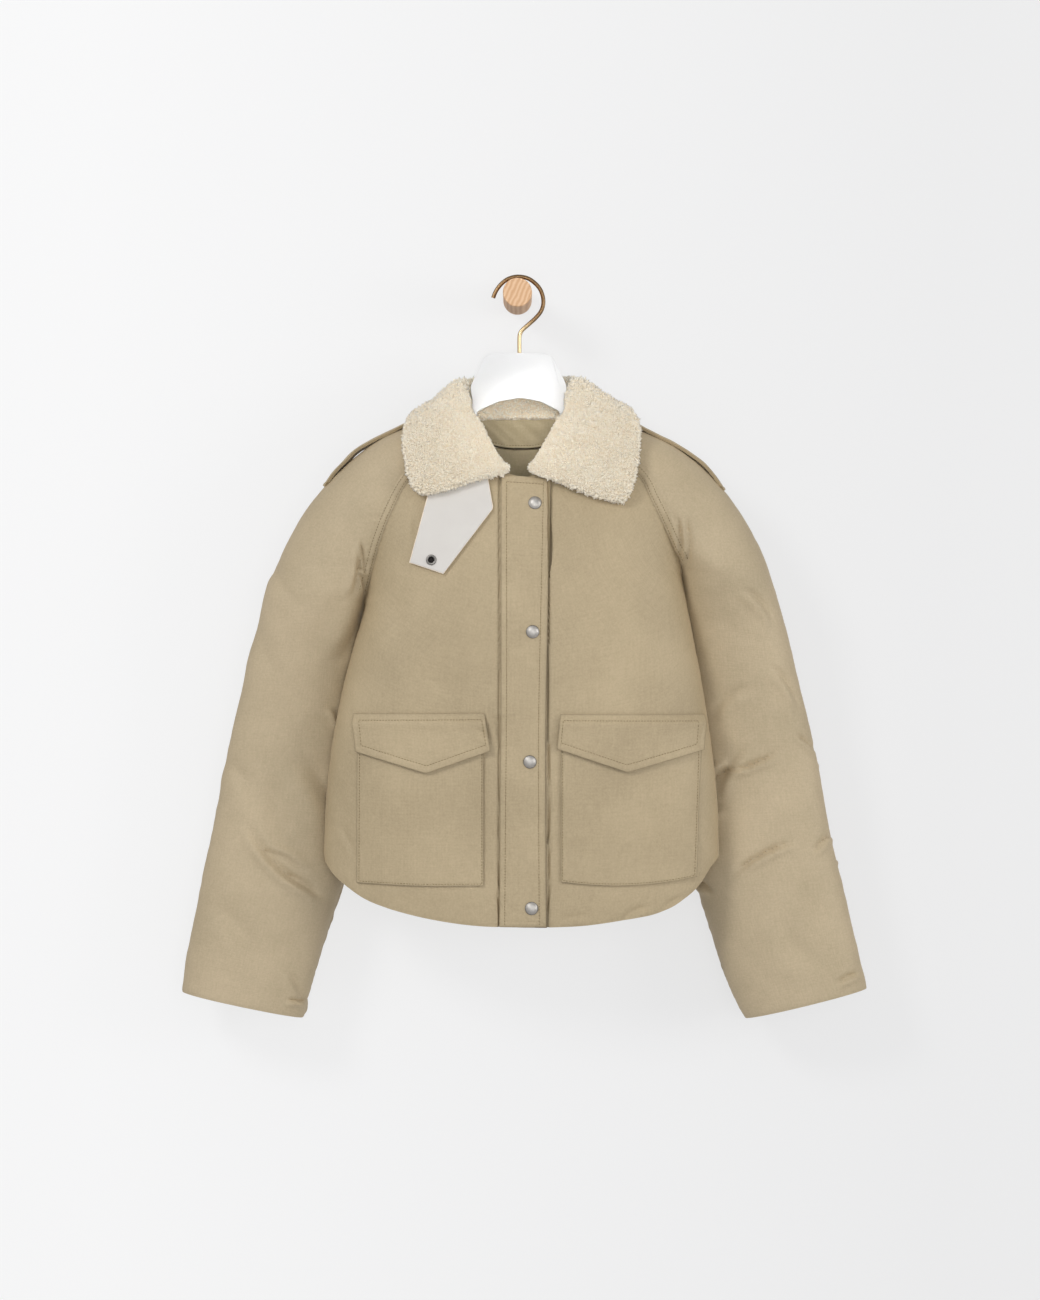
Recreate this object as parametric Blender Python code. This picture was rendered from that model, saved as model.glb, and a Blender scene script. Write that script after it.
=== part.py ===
"""Cropped padded jacket with a shearling collar, on a white hanger hung from a wooden wall peg.

Frame: the middle of the peg's flat back face is the origin, +Y points into the wall, +Z is up.
All driving sizes are millimetres; left and right are the viewer's.
"""

import math

import bmesh
import bpy
from mathutils import Vector
from mathutils.bvhtree import BVHTree

MM = 0.001

# ---- driving sizes, mm ----
HANG_Y = -85.0        # the plane of the hook and the hanger, in front of the wall
WALL = 4.0            # padded shell: outer cloth, filling and lining together
SEAM = 0.4            # gap left along a seam
LAY = 0.7             # gap between a panel and what is sewn on it
SEAT = 0.6            # gap between the hanger arms and the shoulders they carry
CENTRE_X = 8.0        # centre-front opening, hidden under the placket
PATCH = 3.0           # thickness of pockets, flaps, placket and epaulettes
PEG_R = 16.7
PEG_FRONT = -107.0
WIRE_R = 2.4
SNAP_R = 7.5
COLLAR_HALF = 7.0     # half the thickness of the shearling collar

# ---- body: one row per height ----
TORSO_COLUMNS = ("z", "left", "right", "side_y", "front", "back")
TORSO = (
    (-730.0, -220.5, 230.0, -98.0, 64.0, 58.0),
    (-645.0, -221.7, 231.1, -98.0, 68.0, 62.0),
    (-570.0, -218.0, 228.4, -98.0, 72.0, 65.0),
    (-514.0, -212.3, 221.8, -98.0, 74.0, 66.0),
    (-446.0, -198.6, 211.3, -97.0, 76.0, 66.0),
    (-404.0, -187.7, 203.0, -96.0, 76.5, 65.0),
    (-351.0, -173.5, 193.5, -95.0, 76.0, 63.0),
    (-315.0, -176.5, 187.8, -94.0, 74.5, 60.0),
    (-288.0, -182.0, 190.5, -92.5, 72.5, 57.0),
    (-253.0, -187.0, 197.0, -90.5, 68.0, 51.0),
    (-218.0, -191.0, 202.0, -88.5, 60.0, 43.5),
    (-190.0, -194.0, 204.0, -87.0, 50.0, 36.0),
    (-166.0, -196.0, 206.0, -86.0, 39.0, 28.5),
    (-120.0, -198.0, 208.0, -85.0, 15.0, 12.0),
)

# ---- sleeves: one row per station, from the neck down to the cuff ----
# The inner end lies on the raglan seam for the first six stations, the seventh is the underarm.
SLEEVE_COLUMNS = ("in_x", "in_z", "out_x", "out_z", "in_y", "out_y", "front", "back")
SLEEVE_LEFT = (
    (-54.6, -163.7, -63.8, -141.9, -86.0, -86.0, 38.5, 30.0),
    (-89.0, -184.0, -100.6, -147.6, -86.5, -86.0, 47.0, 35.0),
    (-122.0, -215.0, -152.3, -165.4, -87.5, -85.5, 53.0, 40.0),
    (-142.5, -251.6, -198.3, -200.5, -89.5, -85.0, 55.0, 43.0),
    (-156.3, -286.8, -240.9, -248.8, -91.5, -84.0, 54.0, 44.0),
    (-166.0, -321.0, -271.9, -304.0, -93.0, -82.0, 52.0, 44.0),
    (-173.6, -351.0, -291.5, -353.4, -94.5, -80.0, 50.0, 44.0),
    (-181.0, -407.5, -307.6, -416.7, -68.0, -76.0, 46.0, 44.0),
    (-184.5, -465.0, -321.4, -471.9, -53.0, -72.0, 43.0, 43.0),
    (-184.5, -528.0, -334.1, -528.2, -46.0, -69.0, 42.0, 42.0),
    (-185.7, -591.5, -343.2, -577.7, -45.0, -67.0, 42.0, 41.0),
    (-194.9, -656.0, -353.6, -631.8, -46.0, -66.0, 44.0, 41.0),
    (-207.5, -697.0, -361.6, -669.7, -48.0, -66.0, 45.0, 41.0),
    (-222.5, -741.0, -369.7, -712.0, -52.0, -66.0, 45.0, 41.0),
    (-236.3, -790.0, -380.1, -760.0, -55.0, -66.0, 44.0, 40.0),
    (-246.6, -831.8, -385.8, -801.5, -57.0, -66.0, 41.0, 38.0),
)
SLEEVE_RIGHT = (
    (60.4, -163.7, 68.5, -141.9, -86.0, -86.0, 38.5, 30.0),
    (104.1, -186.0, 112.0, -149.5, -86.5, -86.0, 47.0, 35.0),
    (137.5, -212.0, 168.5, -170.6, -87.5, -85.5, 52.0, 40.0),
    (151.5, -237.5, 212.2, -202.8, -89.5, -85.0, 55.0, 43.0),
    (165.8, -266.6, 250.5, -247.0, -91.5, -84.0, 54.0, 44.0),
    (177.5, -292.0, 275.4, -290.2, -93.0, -82.0, 52.0, 44.0),
    (188.2, -315.5, 291.5, -331.6, -94.0, -80.0, 50.0, 44.0),
    (192.6, -373.0, 308.8, -386.8, -68.0, -76.0, 46.0, 44.0),
    (194.9, -436.2, 323.7, -448.9, -53.0, -72.0, 43.0, 43.0),
    (196.1, -505.2, 338.7, -511.0, -46.0, -69.0, 42.0, 42.0),
    (196.1, -574.2, 350.2, -568.5, -45.0, -67.0, 42.0, 41.0),
    (200.7, -637.5, 360.5, -623.7, -46.0, -66.0, 44.0, 41.0),
    (209.9, -691.5, 372.0, -672.0, -48.0, -66.0, 45.0, 41.0),
    (224.8, -738.7, 381.2, -712.2, -52.0, -66.0, 45.0, 41.0),
    (242.1, -790.5, 391.6, -756.0, -55.0, -66.0, 44.0, 40.0),
    (261.6, -833.0, 401.9, -797.5, -57.0, -66.0, 41.0, 38.0),
)
UNDERARM = 6          # station where front and back raglan seams meet

# ---- edges of the body panels, x and z ----
SIDE_END_Z = -648.0
HEM_LEFT = ((-212.0, -662.0), (-200.1, -673.6), (-174.5, -691.2), (-147.2, -702.0), (-112.5, -711.1),
            (-75.6, -718.0), (-38.5, -722.1), (CENTRE_X, -723.5))
HEM_RIGHT = ((222.0, -656.5), (205.3, -679.3), (182.6, -696.4), (159.8, -707.2), (133.7, -712.8),
             (81.4, -720.7), (33.6, -723.2), (CENTRE_X, -723.5))
FRONT_NECK_LEFT = ((-48.0, -183.0), (-30.0, -201.0), (CENTRE_X, -214.0))
FRONT_NECK_RIGHT = ((55.0, -183.0), (38.0, -201.0), (CENTRE_X, -214.0))
BACK_NECK = ((-40.0, -171.5), (-20.0, -176.5), (3.0, -178.0), (26.0, -176.5), (46.0, -171.5))

# ---- what is sewn on the fronts: rows from the top down, x at the left and right edge ----
PLACKET_COLUMNS = ("left_x", "left_z", "right_x", "right_z")
PLACKET = (
    (-18.6, -211.4, 38.0, -215.3),
    (-18.6, -290.0, 36.5, -290.0),
    (-18.6, -464.0, 32.6, -464.0),
    (-19.6, -577.0, 32.3, -577.0),
    (-20.8, -722.6, 33.1, -723.4),
)
BAG_LEFT = ((-180.5, -500.0, -38.4, -500.0), (-181.4, -673.1, -38.4, -676.0))
BAG_RIGHT = ((49.3, -500.0, 208.0, -500.0), (49.3, -673.0, 202.9, -668.0))
FLAP_COLUMNS = ("top_left", "top_right", "low_left", "point", "low_right")
FLAP_LEFT = ((-184.7, -481.9), (-37.2, -480.8), (-180.1, -524.9), (-102.3, -548.5), (-30.5, -523.1))
FLAP_RIGHT = ((48.5, -481.9), (210.5, -482.9), (44.5, -520.8), (123.4, -547.5), (207.1, -523.4))
SNAPS = ((19.8, -243.0), (17.2, -389.0), (14.1, -535.6), (16.0, -701.4))
TAB_LEFT_EDGE = ((-98.5, -225.0), (-121.0, -310.9))
TAB_RIGHT_EDGE = ((-34.5, -209.0), (-27.2, -250.3), (-83.0, -324.0))
TAB_SOCKET = (-97.3, -307.8)

# ---- shearling collar: one row per section, from the front end round to the middle of the back ----
COLLAR_COLUMNS = ("base", "roll", "crown", "fall", "edge")
COLLAR_LEFT = (
    ((-19, -141, -203), (-14, -152, -207), (-50, -160, -216), (-84, -160, -228), (-109, -156, -233)),
    ((-31, -132, -188), (-26, -147, -189), (-60, -157, -198), (-95, -158, -210), (-120, -156, -219)),
    ((-40, -121, -171), (-36, -139, -171), (-66, -151, -178), (-98, -154, -190), (-124, -152, -200)),
    ((-46, -110, -159), (-43, -131, -155), (-70, -143, -160), (-100, -149, -170), (-127, -146, -181)),
    ((-54, -101, -151), (-52, -119, -142), (-74, -132, -145), (-102, -138, -152), (-127, -135, -162)),
    ((-61, -96, -141), (-58, -107, -127), (-77, -116, -130), (-101, -118, -138), (-122, -113, -149)),
    ((-65, -82, -139), (-65, -89, -114), (-78, -97, -119), (-97, -92, -132), (-114, -83, -144)),
    ((-60, -67, -140), (-61, -69, -107), (-74, -72, -109), (-91, -60, -133), (-104, -50, -156)),
    ((-42, -65, -143), (-46, -57, -104), (-56, -44, -111), (-72, -32, -145), (-79, -30, -176)),
    ((-22, -63, -142), (-23, -53, -103), (-27, -36, -111), (-37, -27, -150), (-42, -26, -182)),
)
COLLAR_BACK = (((3, -62, -142), (3, -52, -103), (3, -34, -111), (3, -25, -150), (3, -25, -184)),)
COLLAR_RIGHT = (
    ((21, -141, -202), (16, -152, -206), (50, -160, -219), (88, -160, -235), (119, -156, -242)),
    ((32, -132, -186), (28, -147, -187), (62, -157, -199), (98, -158, -213), (128, -156, -225)),
    ((41, -121, -170), (38, -139, -170), (68, -151, -178), (101, -154, -191), (133, -152, -204)),
    ((48, -110, -158), (46, -131, -153), (73, -143, -158), (105, -149, -170), (136, -146, -182)),
    ((57, -101, -150), (55, -119, -140), (76, -132, -143), (106, -138, -150), (136, -135, -161)),
    ((63, -96, -140), (60, -107, -125), (79, -116, -127), (104, -118, -133), (131, -113, -145)),
    ((65, -82, -137), (65, -89, -111), (80, -97, -113), (100, -92, -125), (121, -83, -138)),
    ((61, -67, -139), (63, -69, -104), (76, -72, -105), (95, -60, -128), (110, -50, -154)),
    ((44, -65, -143), (48, -57, -103), (58, -44, -109), (75, -32, -145), (82, -30, -176)),
    ((26, -63, -142), (27, -53, -103), (31, -36, -111), (42, -27, -150), (47, -26, -182)),
)

# ---- epaulettes: the line of the strip over the shoulder, x and z ----
EPAULETTE_LEFT = ((-127.0, -150.5), (-146.9, -160.0), (-167.5, -170.2), (-185.1, -180.6), (-199.7, -195.2),
                  (-211.5, -207.8), (-217.5, -216.2), (-221.5, -222.0))
EPAULETTE_RIGHT = ((134.0, -149.5), (153.1, -160.0), (176.5, -171.7), (194.1, -182.0), (213.2, -196.0),
                   (226.5, -211.4), (232.5, -220.1), (237.0, -226.8))
EPAULETTE_WIDE = 40.0

# ---- hanger: the plate's outline, the arms' undersides and tips, x and z; the arms' tops follow the shoulders ----
PLATE_TOP = ((-72, -155), (-56, -150), (-53, -124), (-55.4, -107), (-51.2, -98), (-40, -73.5), (-35, -70),
             (-28, -68.4), (32, -68.4), (37, -70.4), (41, -73.5), (54.3, -101), (56.5, -107), (54, -124),
             (60, -150), (78, -155))
ARM_TIP_RIGHT = ((210, -216), (217, -226), (219, -236), (212, -243), (202, -240))
HANGER_LOW = ((160, -207), (112, -184), (72, -176), (55, -163), (48.3, -135.0), (26, -123.6), (3.1, -119.6),
              (-21, -123.6), (-46.1, -135.0), (-50, -163), (-66, -175), (-102, -181), (-148, -201))
ARM_TIP_LEFT = ((-190, -234), (-200, -238), (-207, -232), (-205, -222), (-198, -213))
HANGER_THICK = 9.0
HOOK = ((-27.9, -4.6), (-25.9, 0.9), (-22.6, 6.6), (-17.4, 12.6), (-9.8, 17.7), (0.3, 19.9), (11.0, 18.2), (19.4, 13.0),
        (26.0, 5.4), (29.3, -3.9), (29.5, -12.6), (26.7, -20.5), (20.6, -28.0), (12.9, -35.0), (6.2, -40.9),
        (3.2, -45.4), (2.2, -51.0), (2.2, -67.8))


# ---- the collection and small helpers ----
for stray in list(bpy.data.objects):
    bpy.data.objects.remove(stray, do_unlink=True)
JACKET = bpy.data.collections.new("puffer_jacket")
bpy.context.scene.collection.children.link(JACKET)


def material(name, colour, roughness=0.8, metallic=0.0, sheen=0.0):
    made = bpy.data.materials.new(name)
    made.use_nodes = True
    shader = made.node_tree.nodes["Principled BSDF"]
    shader.inputs["Base Color"].default_value = (*colour, 1.0)
    shader.inputs["Roughness"].default_value = roughness
    shader.inputs["Metallic"].default_value = metallic
    shader.inputs["Sheen Weight"].default_value = sheen
    return made


KHAKI = material("khaki_cotton", (0.42, 0.35, 0.25), 0.75, 0.0, 0.2)
CREAM = material("cream_shearling", (0.80, 0.72, 0.60), 0.95, 0.0, 0.4)
LINING = material("khaki_lining", (0.40, 0.34, 0.25), 0.7)
LEATHER = material("pale_leather", (0.76, 0.68, 0.58), 0.6)
SILVER = material("silver_snap", (0.70, 0.70, 0.70), 0.25, 1.0)
DARK_METAL = material("dark_socket", (0.25, 0.24, 0.24), 0.35, 1.0)
WHITE = material("white_lacquer", (0.86, 0.85, 0.83), 0.35)
BRONZE = material("bronze_wire", (0.33, 0.24, 0.15), 0.3, 1.0)
WOOD = material("light_wood", (0.67, 0.52, 0.36), 0.6)


def spline(rows, x, key, value):
    """Smooth value of a table between its rows, ordered by the rising key."""
    if x <= rows[0][key]:
        return rows[0][value]
    if x >= rows[-1][key]:
        return rows[-1][value]
    i = max(k for k in range(len(rows) - 1) if rows[k][key] <= x)
    a, b = rows[i], rows[i + 1]
    before = rows[max(i - 1, 0)]
    after = rows[min(i + 2, len(rows) - 1)]
    gap = b[key] - a[key]
    t = (x - a[key]) / gap
    slope_a = (b[value] - before[value]) / (b[key] - before[key])
    slope_b = (after[value] - a[value]) / (after[key] - a[key])
    return ((2 * t**3 - 3 * t**2 + 1) * a[value] + (t**3 - 2 * t**2 + t) * gap * slope_a
            + (3 * t**2 - 2 * t**3) * b[value] + (t**3 - t**2) * gap * slope_b)


def along(points, t):
    """Point at share t of a smooth line through the points, counted by point number."""
    last = len(points) - 1
    at = min(max(t, 0.0), 1.0) * last
    i = min(int(at), last - 1)
    t = at - i
    a, b = Vector(points[i]), Vector(points[i + 1])
    before = Vector(points[i - 1]) if i else 2 * a - b
    after = Vector(points[i + 2]) if i + 2 <= last else 2 * b - a
    return a + 0.5 * t * ((b - before) + t * (2 * before - 5 * a + 4 * b - after + t * (3 * (a - b) + after - before)))


def by_length(points, count):
    """Points evenly spaced along the smooth line through the given ones."""
    fine = [along(points, k / 400) for k in range(401)]
    run = [0.0]
    for k in range(400):
        run.append(run[-1] + (fine[k + 1] - fine[k]).length)
    made = []
    k = 0
    for n in range(count):
        want = run[-1] * n / (count - 1)
        while k < 399 and run[k + 1] < want:
            k += 1
        step = max(run[k + 1] - run[k], 1e-9)
        made.append(fine[k].lerp(fine[k + 1], (want - run[k]) / step))
    return made


def body_at(z, column):
    return spline(TORSO, z, 0, TORSO_COLUMNS.index(column))


def turn_of(x, z):
    """Angle round the body of a point seen at x and z: -90 degrees at the left side, 90 at the right."""
    left, right = body_at(z, "left"), body_at(z, "right")
    return math.asin(min(max((2 * x - left - right) / (right - left), -1.0), 1.0))


def body_point(turn, z, back=False, inset=0.0):
    """Point of the body's skin; inset moves it into the wall."""
    left, right = body_at(z, "left"), body_at(z, "right")
    half = (right - left) / 2 - inset
    u = min(abs(math.sin(turn)), 1.0)
    if back:
        out = (body_at(z, "back") - inset) * (1 - u**2.4) ** 0.75
    else:
        out = -(body_at(z, "front") - inset) * (1 - u**3.0) ** 0.6
    return Vector(((left + right) / 2 + half * math.sin(turn), body_at(z, "side_y") + out, z))


def front_at(x, z, lift=0.0):
    """Point over the front skin seen at x and z, lifted off it along its normal."""
    here = body_point(turn_of(x, z), z)
    if not lift:
        return here
    across = body_point(turn_of(x + 2, z), z) - body_point(turn_of(x - 2, z), z)
    up = body_point(turn_of(x, z + 2), z + 2) - body_point(turn_of(x, z - 2), z - 2)
    return here + across.cross(up).normalized() * lift


def add(name, verts, faces, look, smooth=True):
    """Object from points in mm and faces, its normals turned outwards."""
    mesh = bpy.data.meshes.new(name)
    mesh.from_pydata([Vector(v) * MM for v in verts], [], faces)
    form = bmesh.new()
    form.from_mesh(mesh)
    bmesh.ops.recalc_face_normals(form, faces=form.faces)
    form.to_mesh(mesh)
    form.free()
    made = bpy.data.objects.new(name, mesh)
    made.data.materials.append(look)
    JACKET.objects.link(made)
    if smooth:
        mesh.shade_smooth()
        mesh.set_sharp_from_angle(angle=math.radians(50))
    return made


def grid_wall(name, outer, inner, look, ring_from=None):
    """Closed wall between two grids of points; rows from ring_from on are closed rings."""
    rows, cols = len(outer), len(outer[0])
    closed = ring_from if ring_from is not None else rows
    verts = []
    index = []
    for grid in (outer, inner):
        numbers = []
        for i, row in enumerate(grid):
            line = []
            for j, point in enumerate(row):
                if i >= closed and j == cols - 1:
                    line.append(line[0])
                    continue
                line.append(len(verts))
                verts.append(point)
            numbers.append(line)
        index.append(numbers)
    out, ins = index
    faces = []
    for i in range(rows - 1):
        for j in range(cols - 1):
            faces.append((out[i][j], out[i][j + 1], out[i + 1][j + 1], out[i + 1][j]))
            faces.append((ins[i][j], ins[i + 1][j], ins[i + 1][j + 1], ins[i][j + 1]))
    for j in range(cols - 1):
        faces.append((out[0][j], ins[0][j], ins[0][j + 1], out[0][j + 1]))
        faces.append((out[-1][j], out[-1][j + 1], ins[-1][j + 1], ins[-1][j]))
    for i in range(min(closed, rows - 1)):
        faces.append((out[i][0], out[i + 1][0], ins[i + 1][0], ins[i][0]))
        faces.append((out[i][-1], ins[i][-1], ins[i + 1][-1], out[i + 1][-1]))
    tidy = []
    for face in faces:
        kept = [v for k, v in enumerate(face) if v != face[k - 1]]
        tidy.append(tuple(kept))
    return add(name, verts, tidy, look)


# ---- body panels ----
def seam_line(stations, side_x):
    """The side seam from the hem up and the raglan seam on to the neck, as x and z."""
    under = stations[UNDERARM]
    side = [(side_x, SIDE_END_Z + (under[1] - SIDE_END_Z) * k / 6) for k in range(6)]
    side = [(body_at(z, "left" if side_x < 0 else "right"), z) for _, z in side]
    raglan = [(row[0], row[1]) for row in reversed(stations[:UNDERARM])]
    return side + [(body_at(under[1], "left" if side_x < 0 else "right"), under[1])] + raglan


def panel(name, near, far, low, high, rows, cols, look, back=False):
    """Shell between four edges: near and far run upwards, low and high run from near to far."""
    def on_body(points, count):
        return [Vector((turn_of(p[0], p[1]), p[1])) for p in by_length([(*q, 0.0) for q in points], count)]

    near, far = on_body(near, rows), on_body(far, rows)
    low, high = on_body(low, cols), on_body(high, cols)
    outer, inner = [], []
    for i in range(rows):
        t = i / (rows - 1)
        line_out, line_in = [], []
        for j in range(cols):
            s = j / (cols - 1)
            flat = low[j].lerp(high[j], t) + near[i].lerp(far[i], s)
            flat = flat - low[0].lerp(low[-1], s).lerp(high[0].lerp(high[-1], s), t)
            shift = Vector((0.0, SEAM / 2 if back else -SEAM / 2, 0.0))
            line_out.append(body_point(flat[0], flat[1], back) + shift)
            line_in.append(body_point(flat[0], flat[1], back, WALL) + shift)
        outer.append(line_out)
        inner.append(line_in)
    return grid_wall(name, outer, inner, look)


LEFT_SEAM = seam_line(SLEEVE_LEFT, -1)
RIGHT_SEAM = seam_line(SLEEVE_RIGHT, 1)


def centre_edge(side):
    x = CENTRE_X + side * SEAM / 2
    return [(x, -723.5), (x, -560.0), (x, -390.0), (x, -214.0)]


def moved_end(points, side):
    return [*points[:-1], (CENTRE_X + side * SEAM / 2, points[-1][1])]


front_left = panel("front_left", LEFT_SEAM, centre_edge(-1), moved_end([LEFT_SEAM[0], *HEM_LEFT], -1),
                   moved_end([LEFT_SEAM[-1], *FRONT_NECK_LEFT], -1), 20, 13, KHAKI)
front_right = panel("front_right", RIGHT_SEAM, centre_edge(1), moved_end([RIGHT_SEAM[0], *HEM_RIGHT], 1),
                    moved_end([RIGHT_SEAM[-1], *FRONT_NECK_RIGHT], 1), 20, 13, KHAKI)
back_panel = panel("back", LEFT_SEAM, RIGHT_SEAM,
                   [LEFT_SEAM[0], *HEM_LEFT, *reversed(HEM_RIGHT[:-1]), RIGHT_SEAM[0]],
                   [LEFT_SEAM[-1], *BACK_NECK, RIGHT_SEAM[-1]], 17, 19, KHAKI, back=True)


# ---- sleeves ----
def sleeve(name, stations, rows, cols):
    """Raglan sleeve: open arcs over the shoulder down to the underarm, closed rings below it."""
    side = -1 if stations[0][0] < 0 else 1
    share_under = UNDERARM / (len(stations) - 1)
    count_over = round((rows - 1) * share_under)
    shares = [share_under * k / count_over for k in range(count_over)]
    shares += [share_under + (1 - share_under) * k / (rows - 1 - count_over) for k in range(rows - count_over)]
    outer, inner = [], []
    for i, share in enumerate(shares):
        row = along([Vector(r) for r in stations], share)
        in_x, in_z, out_x, out_z, in_y, out_y, deep_front, deep_back = row
        step = 0.01
        before = along([Vector(r) for r in stations], share - step)
        after = along([Vector(r) for r in stations], share + step)
        run = Vector((after[0] - before[0], 0.0, after[1] - before[1])).normalized()
        away = Vector((run[2], 0.0, -run[0])) * (1 if run[2] * side > 0 else -1)
        ring = i >= count_over
        for inset, grid in ((0.0, outer), (WALL, inner)):
            start = Vector((in_x, in_y, in_z)) + away * SEAM
            end = Vector((out_x, out_y, out_z))
            inward = (start - end).normalized()
            end = end + inward * inset
            if ring:
                start = start - inward * inset
            line = []
            half = (cols - 1) // 2
            for face, deep in ((-1, deep_front - inset), (1, deep_back - inset)):
                seam = start
                depth = 0.0
                if not ring:
                    seam = body_point(turn_of(in_x, in_z), in_z, face > 0, inset) + away * SEAM
                    depth = abs(seam[1] - start[1])
                    deep = max(deep, depth + 1.0)
                    seam[1] = start[1]
                power = 1.3
                first = math.pi - math.asin(min((depth / deep) ** (1 / power), 1.0))
                part = []
                for k in range(half + 1):
                    angle = first * (1 - k / half)
                    lean = power if angle > math.pi / 2 else 1.0
                    over = (math.cos(angle) - math.cos(first)) / (1 - math.cos(first))
                    here = seam.lerp(end, over)
                    here[1] += face * deep * math.sin(angle) ** lean
                    part.append(here)
                line += part if face < 0 else list(reversed(part))[1:]
            grid.append(line)
    return grid_wall(name, outer, inner, KHAKI, ring_from=count_over)


sleeve_left = sleeve("sleeve_left", SLEEVE_LEFT, 23, 23)
sleeve_right = sleeve("sleeve_right", SLEEVE_RIGHT, 23, 23)


# ---- collar stand inside the back of the neck ----
def stand():
    outer, inner = [], []
    low = [(-47.0, -167.6), *[(x, z + SEAM) for x, z in BACK_NECK[1:-1]], (53.0, -167.6)]
    for i in range(4):
        line_out, line_in = [], []
        for j in range(17):
            s = j / 16
            foot = along(low, s)
            x = foot[0]
            z = foot[1] + (-150.2 - foot[1]) * i / 3
            turn = turn_of(x, z)
            line_out.append(body_point(turn, z, True) + Vector((0, 0.2, 0)))
            line_in.append(body_point(turn, z, True, 2.6) + Vector((0, 0.2, 0)))
        outer.append(line_out)
        inner.append(line_in)
    return grid_wall("collar_stand", outer, inner, KHAKI)


stand()


# ---- pieces sewn on the fronts ----
def patch(name, rows, look, lift, thick, cols):
    """Flat piece over the front skin; each row holds its left and right end."""
    under, over = [], []
    for left_x, left_z, right_x, right_z in rows:
        ends = [(left_x + (right_x - left_x) * j / (cols - 1), left_z + (right_z - left_z) * j / (cols - 1))
                for j in range(cols)]
        under.append([front_at(x, z, lift) for x, z in ends])
        over.append([front_at(x, z, lift + thick) for x, z in ends])
    return grid_wall(name, over, under, look)


def finer(rows, count):
    return [tuple(along([Vector(r) for r in rows], k / (count - 1))) for k in range(count)]


placket = patch("placket", finer(PLACKET, 21), KHAKI, LAY, PATCH, 5)
bag_left = patch("pocket_left", finer(BAG_LEFT, 8), KHAKI, LAY, PATCH, 9)
bag_right = patch("pocket_right", finer(BAG_RIGHT, 8), KHAKI, LAY + 0.5, PATCH, 10)


def flap(name, corners):
    """Pocket flap with a straight top and a pointed lower edge."""
    top_left, top_right, low_left, point, low_right = [Vector(c) for c in corners]
    under, over = [], []
    for i in range(5):
        t = i / 4
        line_u, line_o = [], []
        for j in range(11):
            s = j / 10
            head = top_left.lerp(top_right, s)
            mid = (point[0] - low_left[0]) / (low_right[0] - low_left[0])
            foot = low_left.lerp(point, s / mid) if s < mid else point.lerp(low_right, (s - mid) / (1 - mid))
            spot = head.lerp(foot, t)
            rise = LAY + (PATCH + LAY + 0.5) * (1 if spot[1] < -492 else max(0.0, (-484 - spot[1]) / 8))
            line_u.append(front_at(spot[0], spot[1], rise))
            line_o.append(front_at(spot[0], spot[1], rise + PATCH))
        under.append(line_u)
        over.append(line_o)
    return grid_wall(name, over, under, KHAKI)


flap("flap_left", FLAP_LEFT)
flap("flap_right", FLAP_RIGHT)


def tab():
    under, over = [], []
    right = [Vector(p) for p in TAB_RIGHT_EDGE]
    left = [Vector(p) for p in TAB_LEFT_EDGE]
    for i in range(10):
        t = i / 9
        start = left[0].lerp(left[1], t)
        end = right[0].lerp(right[1], t * 9 / 3) if i < 3 else right[1].lerp(right[2], (i - 3) / 6)
        line_u, line_o = [], []
        for j in range(6):
            spot = start.lerp(end, j / 5)
            line_u.append(front_at(spot[0], spot[1], 1.2))
            line_o.append(front_at(spot[0], spot[1], 1.2 + 2.6))
        under.append(line_u)
        over.append(line_o)
    return grid_wall("throat_tab", over, under, LEATHER)


throat_tab = tab()


# ---- snaps: turned caps seated along the skin's normal ----
def turned(name, profile, spot, lift, look, steps=16):
    """Round piece spun from a radius and height profile, its axis along the front's normal at the spot."""
    form = bmesh.new()
    verts = [form.verts.new((r * MM, 0.0, h * MM)) for r, h in profile]
    for a, b in zip(verts, verts[1:]):
        form.edges.new((a, b))
    bmesh.ops.spin(form, geom=[*form.verts, *form.edges], cent=(0, 0, 0), axis=(0, 0, 1),
                   angle=2 * math.pi, steps=steps, use_merge=True)
    bmesh.ops.remove_doubles(form, verts=form.verts, dist=1e-6)
    bmesh.ops.recalc_face_normals(form, faces=form.faces)
    mesh = bpy.data.meshes.new(name)
    form.to_mesh(mesh)
    form.free()
    mesh.materials.append(look)
    mesh.shade_smooth()
    mesh.set_sharp_from_angle(angle=math.radians(40))
    made = bpy.data.objects.new(name, mesh)
    JACKET.objects.link(made)
    base = front_at(spot[0], spot[1])
    normal = (front_at(spot[0], spot[1], 10.0) - base).normalized()
    made.location = (base + normal * lift) * MM
    made.rotation_mode = "QUATERNION"
    made.rotation_quaternion = normal.to_track_quat("Z", "Y")
    return made


CAP = ((0.0, 0.0), (SNAP_R - 0.4, 0.0), (SNAP_R, 0.5), (SNAP_R, 1.1), (SNAP_R - 0.7, 1.9), (5.4, 2.8), (3.2, 3.5), (0.0, 3.8))
SOCKET = ((0.0, 0.0), (6.1, 0.0), (6.1, 1.2), (5.3, 2.0), (4.4, 2.1), (3.6, 1.3), (0.0, 1.0))
for number, place in enumerate(SNAPS, 1):
    turned(f"snap_{number}", CAP, place, LAY + PATCH + 0.45, SILVER)
turned("tab_socket", SOCKET, TAB_SOCKET, 1.2 + 2.6 + 0.4, DARK_METAL)


# ---- shearling collar ----
def tree_of(objects):
    verts, faces = [], []
    for one in objects:
        base = len(verts)
        verts += [one.matrix_world @ v.co for v in one.data.vertices]
        faces += [[base + k for k in p.vertices] for p in one.data.polygons]
    return BVHTree.FromPolygons(verts, faces)


def cleared(tree, point, gap):
    """The point, moved out of the pieces under it until it clears them by the gap."""
    for _ in range(4):
        spot, normal, _, far = tree.find_nearest(point * MM)
        side = (point * MM - spot).dot(normal)
        if side > 0 and far >= gap * MM:
            return point
        if far > 25 * MM:
            return point
        point = (spot + normal * (gap * MM + 1e-5)) / MM
    return point


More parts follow.
